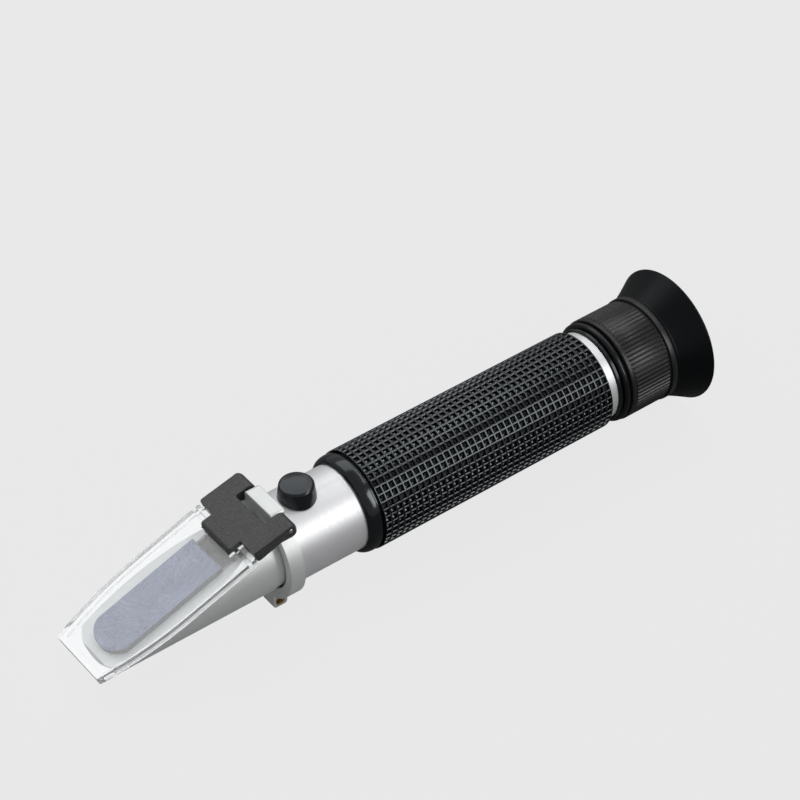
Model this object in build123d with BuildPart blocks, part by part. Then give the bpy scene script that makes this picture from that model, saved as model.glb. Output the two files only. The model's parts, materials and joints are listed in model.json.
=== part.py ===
from build123d import *
import os
from math import cos, pi, radians, sin, tan

os.makedirs("parts", exist_ok=True)

# A handheld refractometer, in millimetres.
# The optical axis is X, with the eyepiece at +X, and +Z points to the hinged cover.
# The origin is on the axis at the rear face of the collar, where a stand clamps the tube.

# Clearances
seat_gap = 0.02
run_gap = 0.03
slide_gap = 0.1
free_gap = 0.3

# Body tube, with the raised band behind the grip
tube_r = 12.2
tube_wall = 1.0
tube_length = 109.0
band_height = 0.75
band_length = 3.3
band_edge = 0.25

# Collar, with the hinge block on top and the split clamp ears below
collar_wall = 2.0
collar_length = 4.35
collar_lip = 1.15
collar_groove_floor = 0.4
block_width = 12.2
block_height = 2.3
block_corner = 1.2
block_edge = 0.3
ear_width = 10.2
ear_drop = 3.8
ear_round = 1.0
ear_slit = 1.0
clamp_drop = 1.9
clamp_shank_r = 0.8
clamp_head_r = 1.35
clamp_head_length = 0.8
clamp_recess_r = 1.5
clamp_recess_depth = 1.0
clamp_slot = 0.45
clamp_slot_turn = 35

# Cover hinge
pin_setback = 1.85
pin_height = 0.65
pin_r = 0.75
arm_r = 1.95
arm_corner = 1.5
arm_span = 24.4
pin_edge = 0.2

# Window plane, which the underside of the daylight plate lies in
window_sink = 0.42
window_slope = 19.29

# Bracket of the cover, with sizes along the window plane from the collar's front face
tongue_front = -13.55
tongue_width = 12.4
tongue_nose_sink = 1.3
tongue_round = 1.2
tongue_corner = 1.3
crossbar_front = -9.23
crossbar_corner = 1.0
notch_front = -1.7
notch_corner = 0.5
bracket_drop = 0.42

# Daylight plate
plate_half_width = 12.6
plate_tip_half_width = 9.2
plate_front = -58.99
plate_taper_start = -30.79
plate_thickness = 1.9
plate_skirt = 0.8
plate_wall = 1.2
plate_tip_wall = 1.9
plate_corner = 0.5
ridge_front = -12.99
ridge_length = 1.0
ridge_slot = 1.2
ridge_slot_depth = 1.2
ridge_corner = 1.2

# Diffuser pad under the plate
pad_half_width = 6.55
pad_rear = -16.89
pad_nose = -52.59
pad_nose_r = 7.3
pad_edge = 0.35
sample_film = 0.1

# Prism box and its prism
box_inset = 1.2
box_length = 52.2
box_chin = 2.5
neck_step = 0.35
neck_length = 3.0
spigot_length = 5.8
prism_drop = 2.3
prism_width = 11.6
prism_front = -48.8
prism_rear = -16.4
prism_floor = -6.5
pocket_gap = 0.6
seal_depth = 1.0
retainer_thickness = 1.2
retainer_aperture_r = 4.6
retainer_top = 6.4
retainer_screw_y = 5.0
retainer_screw_z = -5.0
retainer_screw_r = 0.5
retainer_head_r = 0.95
retainer_head_length = 0.5
retainer_screw_length = 3.6
light_bore_r = 6.2
spigot_wall = 2.18
spigot_bore_front = -8.0

# Calibration screw and its pull-off cap
screw_x = 7.8
screw_r = 1.5
screw_rise = 2.0
screw_slot = 0.5
screw_slot_depth = 0.8
bush_r = 3.4
bush_sink = 1.3
bush_rise = 2.2
cap_base_r = 5.6
cap_sink = 1.2
cap_top_r = 4.5
cap_rise = 4.2
cap_crown = 0.4
cap_round = 0.8
cap_roof = 1.5

# Objective in its guide, shifted across the axis by the calibration screw
guide_setback = 0.5
guide_wall = 2.18
aperture_ledge = 1.6
cell_length = 6.8
cell_lip = 1.6
cell_wall = 0.78
cell_flat = 0.1
cell_flat_half_width = 2.0
calibration_travel = 0.25
guide_ring_length = 1.5
objective_ring_length = 1.3
objective_ring_wall = 0.8
crown_edge = 0.8
crown_front_sag = 0.95
crown_rear_sag = 1.2
flint_edge = 2.3
flint_rear_sag = -0.3
cement = 0.08
spring_width = 5.0
spring_length = 6.0
spring_thickness = 0.2
spring_seat_wall = 1.8

# Light baffle
baffle_x = 46.6
baffle_length = 3.0
baffle_wall = 0.8
baffle_web = 1.0
baffle_aperture_r = 6.0

# Reticle with the scale, in its holder
reticle_setback = 16.6
reticle_wall = 2.23
reticle_thickness = 1.5
reticle_ledge = 0.95
reticle_holder_front = 2.4
reticle_holder_rear = 4.0
reticle_ring_length = 1.4

# Grip sleeve
grip_front = 21.2
grip_lip_length = 3.7
grip_lip_front_wall = 0.4
grip_lip_wall = 1.8
grip_neck_wall = 1.15
grip_neck_length = 0.9
grip_wall = 2.1
grip_depth = 0.75
grip_ribs = 41
grip_rib_share = 0.42

# Eyepiece mount
mount_spigot_length = 9.0
mount_flange_length = 3.2
mount_front_rise = 1.3
mount_step_length = 0.85
mount_groove_rise = 1.0
mount_groove_length = 0.35
mount_flange_rise = 2.7
mount_bulge_x = 2.1
mount_barrel_rise = 0.4
mount_barrel_length = 9.6
mount_wall = 0.78
mount_edge = 0.5
key_depth = 0.9
key_start = 1.5
ring_groove_width = 1.1
ring_groove_setback = 1.6
ring_section_r = 0.5

# Focus ring
focus_wall = 2.4
focus_length = 15.9
focus_bead = 1.3
focus_rib_length = 12.2
focus_ribs = 77
focus_rib_depth = 0.28
focus_rib_share = 0.5
focus_band_rise = 0.3
focus_groove = 0.5
focus_web = 2.1
stop_gap = 0.5
focus_edge = 0.3
cup_seat_step = 1.8
cup_seat_length = 3.2
cup_seat_wall = 1.1

# Lens carrier
carrier_gap = 0.05
carrier_setback = 2.8
carrier_length = 16.0
carrier_wall = 1.35
carrier_lip = 1.2
carrier_ledge = 1.0
carrier_flange_gap = 0.2
carrier_flange_length = 1.9
lens_gap = 0.35
field_edge = 1.6
field_front_sag = 0.6
field_rear_sag = 1.5
eye_edge = 1.8
eye_front_sag = 1.5
eye_rear_sag = 0.5
spacer_wall = 0.9
eyepiece_ring_length = 1.4
eyepiece_ring_wall = 1.6
guide_pin_r = 0.8
guide_pin_setback = 3.2
guide_pin_reach = 0.7

# Eyecup
cup_neck_rise = 0.1
cup_rim_rise = 4.45
cup_length = 9.6
cup_neck_length = 0.6
cup_waist_x = 4.8
cup_waist_rise = 2.1
cup_lip_x = 0.55
cup_lip_drop = 0.4
cup_rim_flat = 0.8
cup_wall = 1.5

# Radii and heights that follow from the tube's
tube_bore_r = tube_r - tube_wall
insert_r = tube_bore_r - seat_gap
band_r = tube_r + band_height
collar_r = tube_r + collar_wall
collar_groove_r = tube_r + collar_groove_floor
block_top = collar_r + block_height
ear_bottom = -collar_r - ear_drop
clamp_z = -collar_r - clamp_drop
pin_z = collar_r + pin_height
window_height = collar_r - window_sink
tongue_nose_z = collar_r - tongue_nose_sink
box_r = tube_r - box_inset
neck_r = box_r - neck_step
spigot_bore_r = insert_r - spigot_wall
screw_top = tube_r + screw_rise
bush_bottom = tube_r - bush_sink
bush_top = tube_r + bush_rise
cap_base_z = tube_r - cap_sink
cap_top_z = tube_r + cap_rise
cell_r = insert_r - guide_wall
aperture_r = cell_r - aperture_ledge
spring_seat_z = spring_seat_wall - tube_r
reticle_r = insert_r - reticle_wall
reticle_aperture_r = reticle_r - reticle_ledge
grip_lip_front_r = tube_r + grip_lip_front_wall
grip_lip_r = tube_r + grip_lip_wall
grip_neck_r = tube_r + grip_neck_wall
grip_r = tube_r + grip_wall
mount_front_r = tube_r + mount_front_rise
mount_groove_r = tube_r + mount_groove_rise
mount_flange_r = tube_r + mount_flange_rise
mount_barrel_r = tube_r + mount_barrel_rise
mount_bore_r = insert_r - mount_wall
carrier_r = mount_bore_r - carrier_gap
carrier_bore_r = carrier_r - carrier_wall
carrier_aperture_r = carrier_bore_r - carrier_ledge
carrier_flange_r = mount_barrel_r - carrier_flange_gap
focus_r = mount_barrel_r + focus_wall
focus_band_r = focus_r + focus_band_rise
cup_seat_r = focus_r - cup_seat_step
cup_neck_r = focus_r + cup_neck_rise
cup_waist_r = focus_r + cup_waist_rise
cup_rim_r = focus_r + cup_rim_rise

# Places along the axis that follow from the sizes
collar_front = -collar_length
tube_front = collar_front + collar_lip
tube_rear = tube_front + tube_length
band_front = tube_rear - band_length
mount_rear = tube_rear + mount_flange_length
focus_front = mount_rear + free_gap
focus_rear = focus_front + focus_length
cup_rear = focus_rear + cup_length
reticle_x = tube_rear - reticle_setback
pin_x = collar_front + pin_setback
clamp_x = -collar_length / 2
head_seat_y = clamp_recess_depth - ear_width / 2
box_front = tube_front - box_length
neck_front = tube_front - neck_length
slope = radians(window_slope)

# Lengths that reach past all that they cut
past_box = 2 * box_length
past_collar = 2 * collar_r

window = Plane(
    origin=(collar_front, 0, window_height),
    x_dir=(cos(slope), 0, sin(slope)),
    z_dir=(-sin(slope), 0, cos(slope)),
)
screw_axis = Axis((screw_x, 0, 0), (0, 0, 1))


def window_z(x, depth=0.0):
    """Height at x of the plane that lies the given depth below the window plane."""
    return window_height + tan(slope) * (x - collar_front) - depth / cos(slope)


def on_window(along, above=0.0):
    """X and Z of a point at a distance along the window plane and a height over it."""
    x = collar_front + along * cos(slope) - above * sin(slope)
    z = window_height + along * sin(slope) + above * cos(slope)
    return (x, z)


def side_face(*corners):
    """Closed face through corners in the XZ plane."""
    with BuildSketch(Plane.XZ) as profile:
        with BuildLine():
            Polyline(*corners, close=True)
        make_face()
    return profile.sketch


def ring_face(front, rear, inner_r, outer_r):
    """Section of a plain ring about the optical axis."""
    return side_face((front, inner_r), (rear, inner_r), (rear, outer_r), (front, outer_r))


def lens_face(front, edge, lens_r, front_sag, rear_sag):
    """Half section of a lens, where a positive sag bulges out and a negative one is hollow."""
    rear = front + edge
    with BuildSketch(Plane.XZ) as profile:
        with BuildLine():
            TangentArc((front - front_sag, 0), (front, lens_r), tangent=(0, 1))
            Line((front, lens_r), (rear, lens_r))
            TangentArc((rear + rear_sag, 0), (rear, lens_r), tangent=(0, 1))
            Line((front - front_sag, 0), (rear + rear_sag, 0))
        make_face()
    return profile.sketch


def ribbed_face(front, bore_r, outer_r, depth, count, rib_share):
    """Ring across the axis whose edge has ribs with sloping sides, one of them at the top."""
    root_r = outer_r - depth
    step = 2 * pi / count
    crest = step * rib_share / 2
    foot = (step - crest) / 2
    corners = []
    for i in range(count):
        middle = pi / 2 + i * step
        for turn, r in ((-foot, root_r), (-crest, outer_r), (crest, outer_r), (foot, root_r)):
            corners.append((r * cos(middle + turn), r * sin(middle + turn)))
    with BuildSketch(Plane.YZ.offset(front)) as face:
        Polygon(*corners, align=None)
        Circle(bore_r, mode=Mode.SUBTRACT)
    return face.sketch


# Body tube
with BuildPart() as body_tube:
    revolve(
        side_face(
            (tube_front, tube_bore_r),
            (tube_front, tube_r),
            (band_front, tube_r),
            (band_front, band_r - band_edge),
            (band_front + band_edge, band_r),
            (tube_rear - band_edge, band_r),
            (tube_rear, band_r - band_edge),
            (tube_rear, tube_bore_r),
        ),
        axis=Axis.X,
    )
    with BuildSketch(Plane.XY):
        with Locations((screw_x, 0)):
            Circle(bush_r + seat_gap)
    extrude(amount=tube_r, mode=Mode.SUBTRACT)

# Collar that closes on the front of the tube
with BuildPart() as collar_ring:
    with BuildSketch(Plane.YZ.offset(collar_front)):
        Circle(collar_r)
        with Locations((0, block_top / 2)):
            RectangleRounded(block_width, block_top, block_corner)
        with Locations((0, ear_bottom / 2)):
            Rectangle(ear_width, -ear_bottom)
    extrude(amount=collar_length)
    level_faces = collar_ring.faces().filter_by(Axis.Z).sort_by(Axis.Z)
    fillet(level_faces[-1].edges().filter_by(Axis.Y), block_edge)
    fillet(level_faces[0].edges().filter_by(Axis.Y), ear_round)
    revolve(ring_face(collar_front, tube_front, 0, collar_groove_r), axis=Axis.X, mode=Mode.SUBTRACT)
    revolve(ring_face(tube_front, 0, 0, tube_r + seat_gap), axis=Axis.X, mode=Mode.SUBTRACT)
    with BuildSketch(Plane.XZ):
        with Locations((pin_x, pin_z)):
            Circle(pin_r + seat_gap)
        with Locations((clamp_x, clamp_z)):
            Circle(clamp_shank_r + seat_gap)
    extrude(amount=block_width, both=True, mode=Mode.SUBTRACT)
    with BuildSketch(Plane.XZ.offset(-head_seat_y)):
        with Locations((clamp_x, clamp_z)):
            Circle(clamp_recess_r)
    extrude(amount=clamp_recess_depth, mode=Mode.SUBTRACT)
    with BuildSketch(Plane.YZ.offset(collar_front)):
        with Locations((0, ear_bottom)):
            Rectangle(ear_slit, collar_r)
    extrude(amount=collar_length, mode=Mode.SUBTRACT)

# Slotted screw, sunk in the near ear, that pulls the ears of the collar together
with BuildPart() as clamp_screw:
    with BuildSketch(Plane.XZ.offset(-head_seat_y)):
        with Locations((clamp_x, clamp_z)):
            Circle(clamp_shank_r)
    extrude(amount=head_seat_y - ear_width / 2)
    with BuildSketch(Plane.XZ.offset(-head_seat_y)):
        with Locations((clamp_x, clamp_z)):
            Circle(clamp_head_r)
    extrude(amount=clamp_head_length)
    with BuildSketch(Plane.XZ.offset(clamp_head_length - head_seat_y)):
        with Locations((clamp_x, clamp_z)):
            Rectangle(2 * clamp_head_r, clamp_slot, rotation=clamp_slot_turn)
    extrude(amount=-clamp_slot, mode=Mode.SUBTRACT)

# Pin of the cover hinge, held in the block
with BuildPart() as hinge_pin:
    with BuildSketch(Plane.XZ):
        with Locations((pin_x, pin_z)):
            Circle(pin_r)
    extrude(amount=arm_span / 2, both=True)
    chamfer(hinge_pin.edges().filter_by(GeomType.CIRCLE), pin_edge)

# Bracket that carries the daylight plate: a side profile trimmed by its plan
level_z = pin_z - arm_r
level_x = collar_front - (window_z(collar_front, bracket_drop) - level_z) / tan(slope)
nose_z = on_window(tongue_front)[1]
nose_top = on_window(tongue_front, (tongue_nose_z - nose_z) / cos(slope))
notch_half_width = block_width / 2 + free_gap
pin_along = (pin_x - collar_front) * cos(slope) + (pin_z - window_height) * sin(slope)
plan_rear = pin_along + arm_r + slide_gap

with BuildPart() as hinge_bracket:
    with BuildSketch(Plane.XZ) as bracket_side:
        with BuildLine():
            Polyline(
                (pin_x, pin_z + arm_r),
                nose_top,
                on_window(tongue_front, -bracket_drop),
                (level_x, level_z),
                (pin_x, level_z),
                close=True,
            )
        make_face()
        fillet(bracket_side.vertices().sort_by_distance(nose_top)[0], tongue_round)
        with Locations((pin_x, pin_z)):
            Circle(arm_r)
    extrude(amount=arm_span / 2, both=True)
    with BuildSketch(window) as bracket_plan:
        with Locations(((crossbar_front + plan_rear) / 2, 0)):
            Rectangle(plan_rear - crossbar_front, arm_span)
        fillet(bracket_plan.vertices().group_by(Axis.X)[0], crossbar_corner)
        fillet(bracket_plan.vertices().group_by(Axis.X)[-1], arm_corner)
        with Locations((tongue_front / 2, 0)):
            RectangleRounded(-tongue_front, tongue_width, tongue_corner)
        with Locations((notch_front + past_collar / 2, 0)):
            RectangleRounded(past_collar, 2 * notch_half_width, notch_corner, mode=Mode.SUBTRACT)
    extrude(amount=past_collar, both=True, mode=Mode.INTERSECT)
    with BuildSketch(Plane.XZ):
        with Locations((pin_x, pin_z)):
            Circle(pin_r + run_gap)
    extrude(amount=arm_span / 2, both=True, mode=Mode.SUBTRACT)


def plate_plan(inset, tip_inset, rear_corner):
    """Plan of the daylight plate, drawn in at its sides and its tip."""
    half = plate_half_width - inset
    front = plate_front + tip_inset
    with BuildSketch() as plan:
        with BuildLine():
            Line((crossbar_front, 0), (crossbar_front, half))
            side = Line((crossbar_front, half), (plate_taper_start, half))
            taper = TangentArc(side @ 1, (front, plate_tip_half_width - inset), tangent=side % 1)
            Line(taper @ 1, (front, 0))
            mirror(about=Plane.XZ)
        make_face()
        fillet(plan.vertices().group_by(Axis.X)[0], plate_corner)
        fillet(plan.vertices().group_by(Axis.X)[-1], rear_corner)
    return plan.sketch


# Clear plate that spreads daylight over the prism and presses the sample flat
with BuildPart() as daylight_plate:
    with BuildSketch(window.offset(-plate_skirt)):
        add(plate_plan(0, 0, ridge_corner))
    extrude(amount=plate_skirt + plate_thickness)
    with BuildSketch(window.offset(-plate_skirt)):
        add(plate_plan(plate_wall, plate_tip_wall, plate_corner))
    extrude(amount=plate_skirt, mode=Mode.SUBTRACT)
    with BuildSketch(window.offset(-plate_skirt)):
        with Locations((tongue_front - slide_gap, 0)):
            Rectangle(
                crossbar_front - tongue_front + 2 * slide_gap,
                tongue_width + 2 * slide_gap,
                align=(Align.MIN, Align.CENTER),
            )
    extrude(amount=plate_skirt + plate_thickness, mode=Mode.SUBTRACT)
    with BuildSketch(window.offset(plate_thickness)):
        with Locations((ridge_front + ridge_length, 0)):
            Rectangle(ridge_slot, 2 * plate_half_width, align=(Align.MIN, Align.CENTER))
    extrude(amount=-ridge_slot_depth, mode=Mode.SUBTRACT)

# Frosted pad on the underside of the plate, a film's thickness above the prism
pad_thickness = prism_drop - sample_film
pad_straight_end = pad_nose + pad_nose_r - (pad_nose_r**2 - pad_half_width**2) ** 0.5

with BuildPart() as diffuser_pad:
    with BuildSketch(window):
        with BuildLine():
            Line((pad_straight_end, -pad_half_width), (pad_rear, -pad_half_width))
            Line((pad_rear, -pad_half_width), (pad_rear, pad_half_width))
            Line((pad_rear, pad_half_width), (pad_straight_end, pad_half_width))
            ThreePointArc(
                (pad_straight_end, pad_half_width),
                (pad_nose, 0),
                (pad_straight_end, -pad_half_width),
            )
        make_face()
    extrude(amount=-pad_thickness)
    pad_top = diffuser_pad.faces().sort_by(Axis(window.origin, window.z_dir))[-1]
    chamfer(pad_top.edges(), pad_edge)

# Prism box: a round bar cut off along the prism's face, with a pocket for the prism
pocket_front = prism_front - pocket_gap
pocket_rear = prism_rear + retainer_thickness
pocket_width = prism_width + 2 * pocket_gap
spigot_rear = tube_front + spigot_length
retainer_screws_at = [(-retainer_screw_y, retainer_screw_z), (retainer_screw_y, retainer_screw_z)]

with BuildPart() as prism_box:
    revolve(
        side_face(
            (box_front, 0),
            (box_front, box_r - box_chin),
            (box_front + box_chin, box_r),
            (neck_front, box_r),
            (neck_front, neck_r),
            (tube_front, neck_r),
            (tube_front, insert_r),
            (spigot_rear, insert_r),
            (spigot_rear, spigot_bore_r),
            (spigot_bore_front, spigot_bore_r),
            (spigot_bore_front, light_bore_r),
            (pocket_rear, light_bore_r),
            (pocket_rear, 0),
        ),
        axis=Axis.X,
    )
    with BuildSketch(window.offset(-prism_drop)):
        Rectangle(2 * past_box, 2 * past_box)
    extrude(amount=past_box, mode=Mode.SUBTRACT)
    with BuildSketch(Plane.XY.offset(prism_floor)):
        with Locations((pocket_front, 0)):
            Rectangle(pocket_rear - pocket_front, pocket_width, align=(Align.MIN, Align.CENTER))
    extrude(amount=2 * box_r, mode=Mode.SUBTRACT)
    with BuildSketch(Plane.YZ.offset(prism_rear)):
        with Locations(*retainer_screws_at):
            Circle(retainer_screw_r + seat_gap)
    extrude(amount=retainer_screw_length, mode=Mode.SUBTRACT)

# Measuring prism, with its upper face flush with the cut of the box
with BuildPart() as measuring_prism:
    with BuildSketch(Plane.XZ):
        with BuildLine():
            Polyline(
                (prism_front, prism_floor),
                (prism_front, window_z(prism_front, prism_drop)),
                (prism_rear, window_z(prism_rear, prism_drop)),
                (prism_rear, prism_floor),
                close=True,
            )
        make_face()
    extrude(amount=prism_width / 2, both=True)

# Bead of sealant round the prism, open at the retainer
with BuildPart() as prism_seal:
    with BuildSketch(Plane.XY.offset(prism_floor)):
        with Locations((pocket_front, 0)):
            Rectangle(prism_rear - pocket_front, pocket_width, align=(Align.MIN, Align.CENTER))
        with Locations((prism_front, 0)):
            Rectangle(
                prism_rear - prism_front,
                prism_width,
                align=(Align.MIN, Align.CENTER),
                mode=Mode.SUBTRACT,
            )
    extrude(amount=2 * box_r)
    with BuildSketch(window.offset(-prism_drop)):
        Rectangle(2 * past_box, 2 * past_box)
    extrude(amount=-seal_depth, mode=Mode.INTERSECT)

# Plate with an aperture that closes the pocket behind the prism
with BuildPart() as prism_retainer:
    with BuildSketch(Plane.YZ.offset(prism_rear)):
        with Locations((0, prism_floor)):
            Rectangle(
                pocket_width - 2 * slide_gap,
                retainer_top - prism_floor,
                align=(Align.CENTER, Align.MIN),
            )
        Circle(retainer_aperture_r, mode=Mode.SUBTRACT)
        with Locations(*retainer_screws_at):
            Circle(retainer_screw_r + seat_gap, mode=Mode.SUBTRACT)
    extrude(amount=retainer_thickness)
    with BuildSketch(Plane.YZ.offset(prism_rear)):
        with Locations(*retainer_screws_at):
            Circle(retainer_head_r + seat_gap)
    extrude(amount=retainer_head_length, mode=Mode.SUBTRACT)

# Two countersunk screws of the retainer
with BuildPart() as retainer_screws:
    with BuildSketch(Plane.YZ.offset(prism_rear)):
        with Locations(*retainer_screws_at):
            Circle(retainer_screw_r)
    extrude(amount=retainer_screw_length)
    with BuildSketch(Plane.YZ.offset(prism_rear)):
        with Locations(*retainer_screws_at):
            Circle(retainer_head_r)
    extrude(amount=retainer_head_length)

# Threaded bush in the tube wall
with BuildPart() as screw_bush:
    with BuildSketch(Plane.XY.offset(bush_bottom)):
        with Locations((screw_x, 0)):
            Circle(bush_r)
            Circle(screw_r + run_gap, mode=Mode.SUBTRACT)
    extrude(amount=bush_top - bush_bottom)

# Calibration screw, whose tip bears on the flat of the objective cell
screw_tip = cell_r - cell_flat + seat_gap

with BuildPart() as calibration_screw:
    with BuildSketch(Plane.XY.offset(screw_tip)):
        with Locations((screw_x, 0)):
            Circle(screw_r)
    extrude(amount=screw_top - screw_tip)
    with BuildSketch(Plane.XY.offset(screw_top)):
        with Locations((screw_x, 0)):
            Rectangle(2 * screw_r, screw_slot)
    extrude(amount=-screw_slot_depth, mode=Mode.SUBTRACT)

# Rubber cap over the screw, saddle-shaped where it meets the tube
cap_inner_r = bush_r + free_gap
cap_inner_top = cap_top_z - cap_roof

with BuildPart() as calibration_cap:
    with BuildSketch(Plane.XZ) as cap_side:
        with BuildLine():
            Polyline(
                (screw_x, 0),
                (screw_x + cap_base_r, 0),
                (screw_x + cap_base_r, cap_base_z),
                (screw_x + cap_top_r, cap_top_z),
            )
            TangentArc(
                (screw_x, cap_top_z + cap_crown),
                (screw_x + cap_top_r, cap_top_z),
                tangent=(1, 0),
            )
            Line((screw_x, cap_top_z + cap_crown), (screw_x, 0))
        make_face()
        fillet(cap_side.vertices().sort_by_distance((screw_x + cap_top_r, cap_top_z))[0], cap_round)
    revolve(axis=screw_axis)
    with BuildSketch(Plane.XY):
        with Locations((screw_x, 0)):
            Circle(cap_inner_r)
    extrude(amount=cap_inner_top, mode=Mode.SUBTRACT)
    with BuildSketch(Plane.YZ.offset(screw_x)):
        Circle(tube_r + free_gap)
    extrude(amount=2 * cap_base_r, both=True, mode=Mode.SUBTRACT)

# Objective cell, centred under the calibration screw
cell_front = screw_x - cell_length / 2
cell_rear = cell_front + cell_length
cell_bore_r = cell_r - cell_wall
glass_r = cell_bore_r - seat_gap

with BuildPart() as objective_cell:
    revolve(
        side_face(
            (cell_front, aperture_r),
            (cell_front, cell_r),
            (cell_rear, cell_r),
            (cell_rear, cell_bore_r),
            (cell_front + cell_lip, cell_bore_r),
            (cell_front + cell_lip, aperture_r),
        ),
        axis=Axis.X,
    )
    with BuildSketch(Plane.YZ.offset(cell_front)):
        with Locations((0, cell_r), (0, -cell_r)):
            Rectangle(2 * cell_flat_half_width, 2 * cell_flat)
    extrude(amount=cell_length, mode=Mode.SUBTRACT)

# Cemented pair of objective lenses and the ring that holds them
crown_front = cell_front + cell_lip + lens_gap
flint_front = crown_front + crown_edge + cement
objective_ring_front = flint_front + flint_edge + seat_gap

with BuildPart() as objective_crown:
    revolve(
        lens_face(crown_front, crown_edge, glass_r, crown_front_sag, crown_rear_sag),
        axis=Axis.X,
    )

with BuildPart() as objective_flint:
    revolve(
        lens_face(flint_front, flint_edge, glass_r, -crown_rear_sag, flint_rear_sag),
        axis=Axis.X,
    )

with BuildPart() as objective_ring:
    revolve(
        ring_face(
            objective_ring_front,
            objective_ring_front + objective_ring_length,
            glass_r - objective_ring_wall,
            glass_r,
        ),
        axis=Axis.X,
    )

# Guide that lets the cell slide up and down by the calibration travel
guide_front = spigot_rear + guide_setback
channel_front = cell_front - slide_gap
channel_rear = cell_rear + slide_gap
channel_travel = 2 * (calibration_travel + seat_gap)
spring_front = screw_x - spring_length / 2
spring_rear = screw_x + spring_length / 2

with BuildPart() as objective_guide:
    revolve(ring_face(guide_front, channel_rear, aperture_r, insert_r), axis=Axis.X)
    with BuildSketch(Plane.YZ.offset(channel_front)):
        SlotCenterToCenter(channel_travel, 2 * (cell_r + seat_gap), rotation=90)
    extrude(amount=channel_rear - channel_front, mode=Mode.SUBTRACT)
    with BuildSketch(Plane.XY):
        with Locations((screw_x, 0)):
            Circle(bush_r + seat_gap)
    extrude(amount=insert_r, mode=Mode.SUBTRACT)
    with BuildSketch(Plane.XY.offset(spring_seat_z)):
        with Locations((screw_x, 0)):
            Rectangle(spring_length + 2 * slide_gap, spring_width + 2 * slide_gap)
    extrude(amount=-spring_seat_z, mode=Mode.SUBTRACT)

with BuildPart() as guide_ring:
    revolve(
        ring_face(channel_rear, channel_rear + guide_ring_length, aperture_r, insert_r),
        axis=Axis.X,
    )

# Bowed strip that presses the cell up against the screw
spring_crest = -(cell_r - cell_flat + seat_gap)

with BuildPart() as leaf_spring:
    with BuildSketch(Plane.XZ):
        with BuildLine():
            ThreePointArc(
                (spring_front, spring_seat_z),
                (screw_x, spring_crest - spring_thickness),
                (spring_rear, spring_seat_z),
            )
            Line((spring_rear, spring_seat_z), (spring_rear, spring_seat_z + spring_thickness))
            ThreePointArc(
                (spring_rear, spring_seat_z + spring_thickness),
                (screw_x, spring_crest),
                (spring_front, spring_seat_z + spring_thickness),
            )
            Line((spring_front, spring_seat_z + spring_thickness), (spring_front, spring_seat_z))
        make_face()
    extrude(amount=spring_width / 2, both=True)

# Baffle that traps stray light in the middle of the tube
with BuildPart() as light_baffle:
    revolve(
        side_face(
            (baffle_x, baffle_aperture_r),
            (baffle_x, insert_r),
            (baffle_x + baffle_length, insert_r),
            (baffle_x + baffle_length, insert_r - baffle_wall),
            (baffle_x + baffle_web, insert_r - baffle_wall),
            (baffle_x + baffle_web, baffle_aperture_r),
        ),
        axis=Axis.X,
    )

# Glass disc with the scale, its holder and its threaded ring
reticle_rear = reticle_x + reticle_thickness

with BuildPart() as reticle_disc:
    with BuildSketch(Plane.YZ.offset(reticle_x)):
        Circle(reticle_r)
    extrude(amount=reticle_thickness)

with BuildPart() as reticle_holder:
    revolve(
        side_face(
            (reticle_x - reticle_holder_front, reticle_aperture_r),
            (reticle_x - reticle_holder_front, insert_r),
            (reticle_rear + reticle_holder_rear, insert_r),
            (reticle_rear + reticle_holder_rear, reticle_r + seat_gap),
            (reticle_x, reticle_r + seat_gap),
            (reticle_x, reticle_aperture_r),
        ),
        axis=Axis.X,
    )

with BuildPart() as reticle_ring:
    revolve(
        ring_face(reticle_rear, reticle_rear + reticle_ring_length, reticle_aperture_r, reticle_r),
        axis=Axis.X,
    )

# Rubber grip sleeve with a rounded lip and long ribs
lip_rear = grip_front + grip_lip_length
ribs_front = lip_rear + grip_neck_length
sleeve_bore_r = tube_r + seat_gap

with BuildPart() as grip_sleeve:
    with BuildSketch(Plane.XZ):
        with BuildLine():
            Polyline(
                (grip_front, grip_lip_front_r),
                (grip_front, sleeve_bore_r),
                (ribs_front, sleeve_bore_r),
                (ribs_front, grip_neck_r),
                (lip_rear, grip_neck_r),
                (lip_rear, grip_lip_r),
            )
            TangentArc(
                (lip_rear, grip_lip_r),
                (grip_front, grip_lip_front_r),
                tangent=(-1, 0),
            )
        make_face()
    revolve(axis=Axis.X)
    extrude(
        ribbed_face(ribs_front, sleeve_bore_r, grip_r, grip_depth, grip_ribs, grip_rib_share),
        amount=band_front - ribs_front,
    )

# Eyepiece mount: a spigot in the tube, a beaded flange and a barrel for the focus ring
barrel_rear = mount_rear + mount_barrel_length
groove_rear = barrel_rear - ring_groove_setback
groove_front = groove_rear - ring_groove_width
groove_depth = 2 * ring_section_r - slide_gap - free_gap / 2
groove_r = mount_barrel_r - groove_depth
step_rear = tube_rear + mount_step_length
bulge_front = step_rear + mount_groove_length

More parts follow.
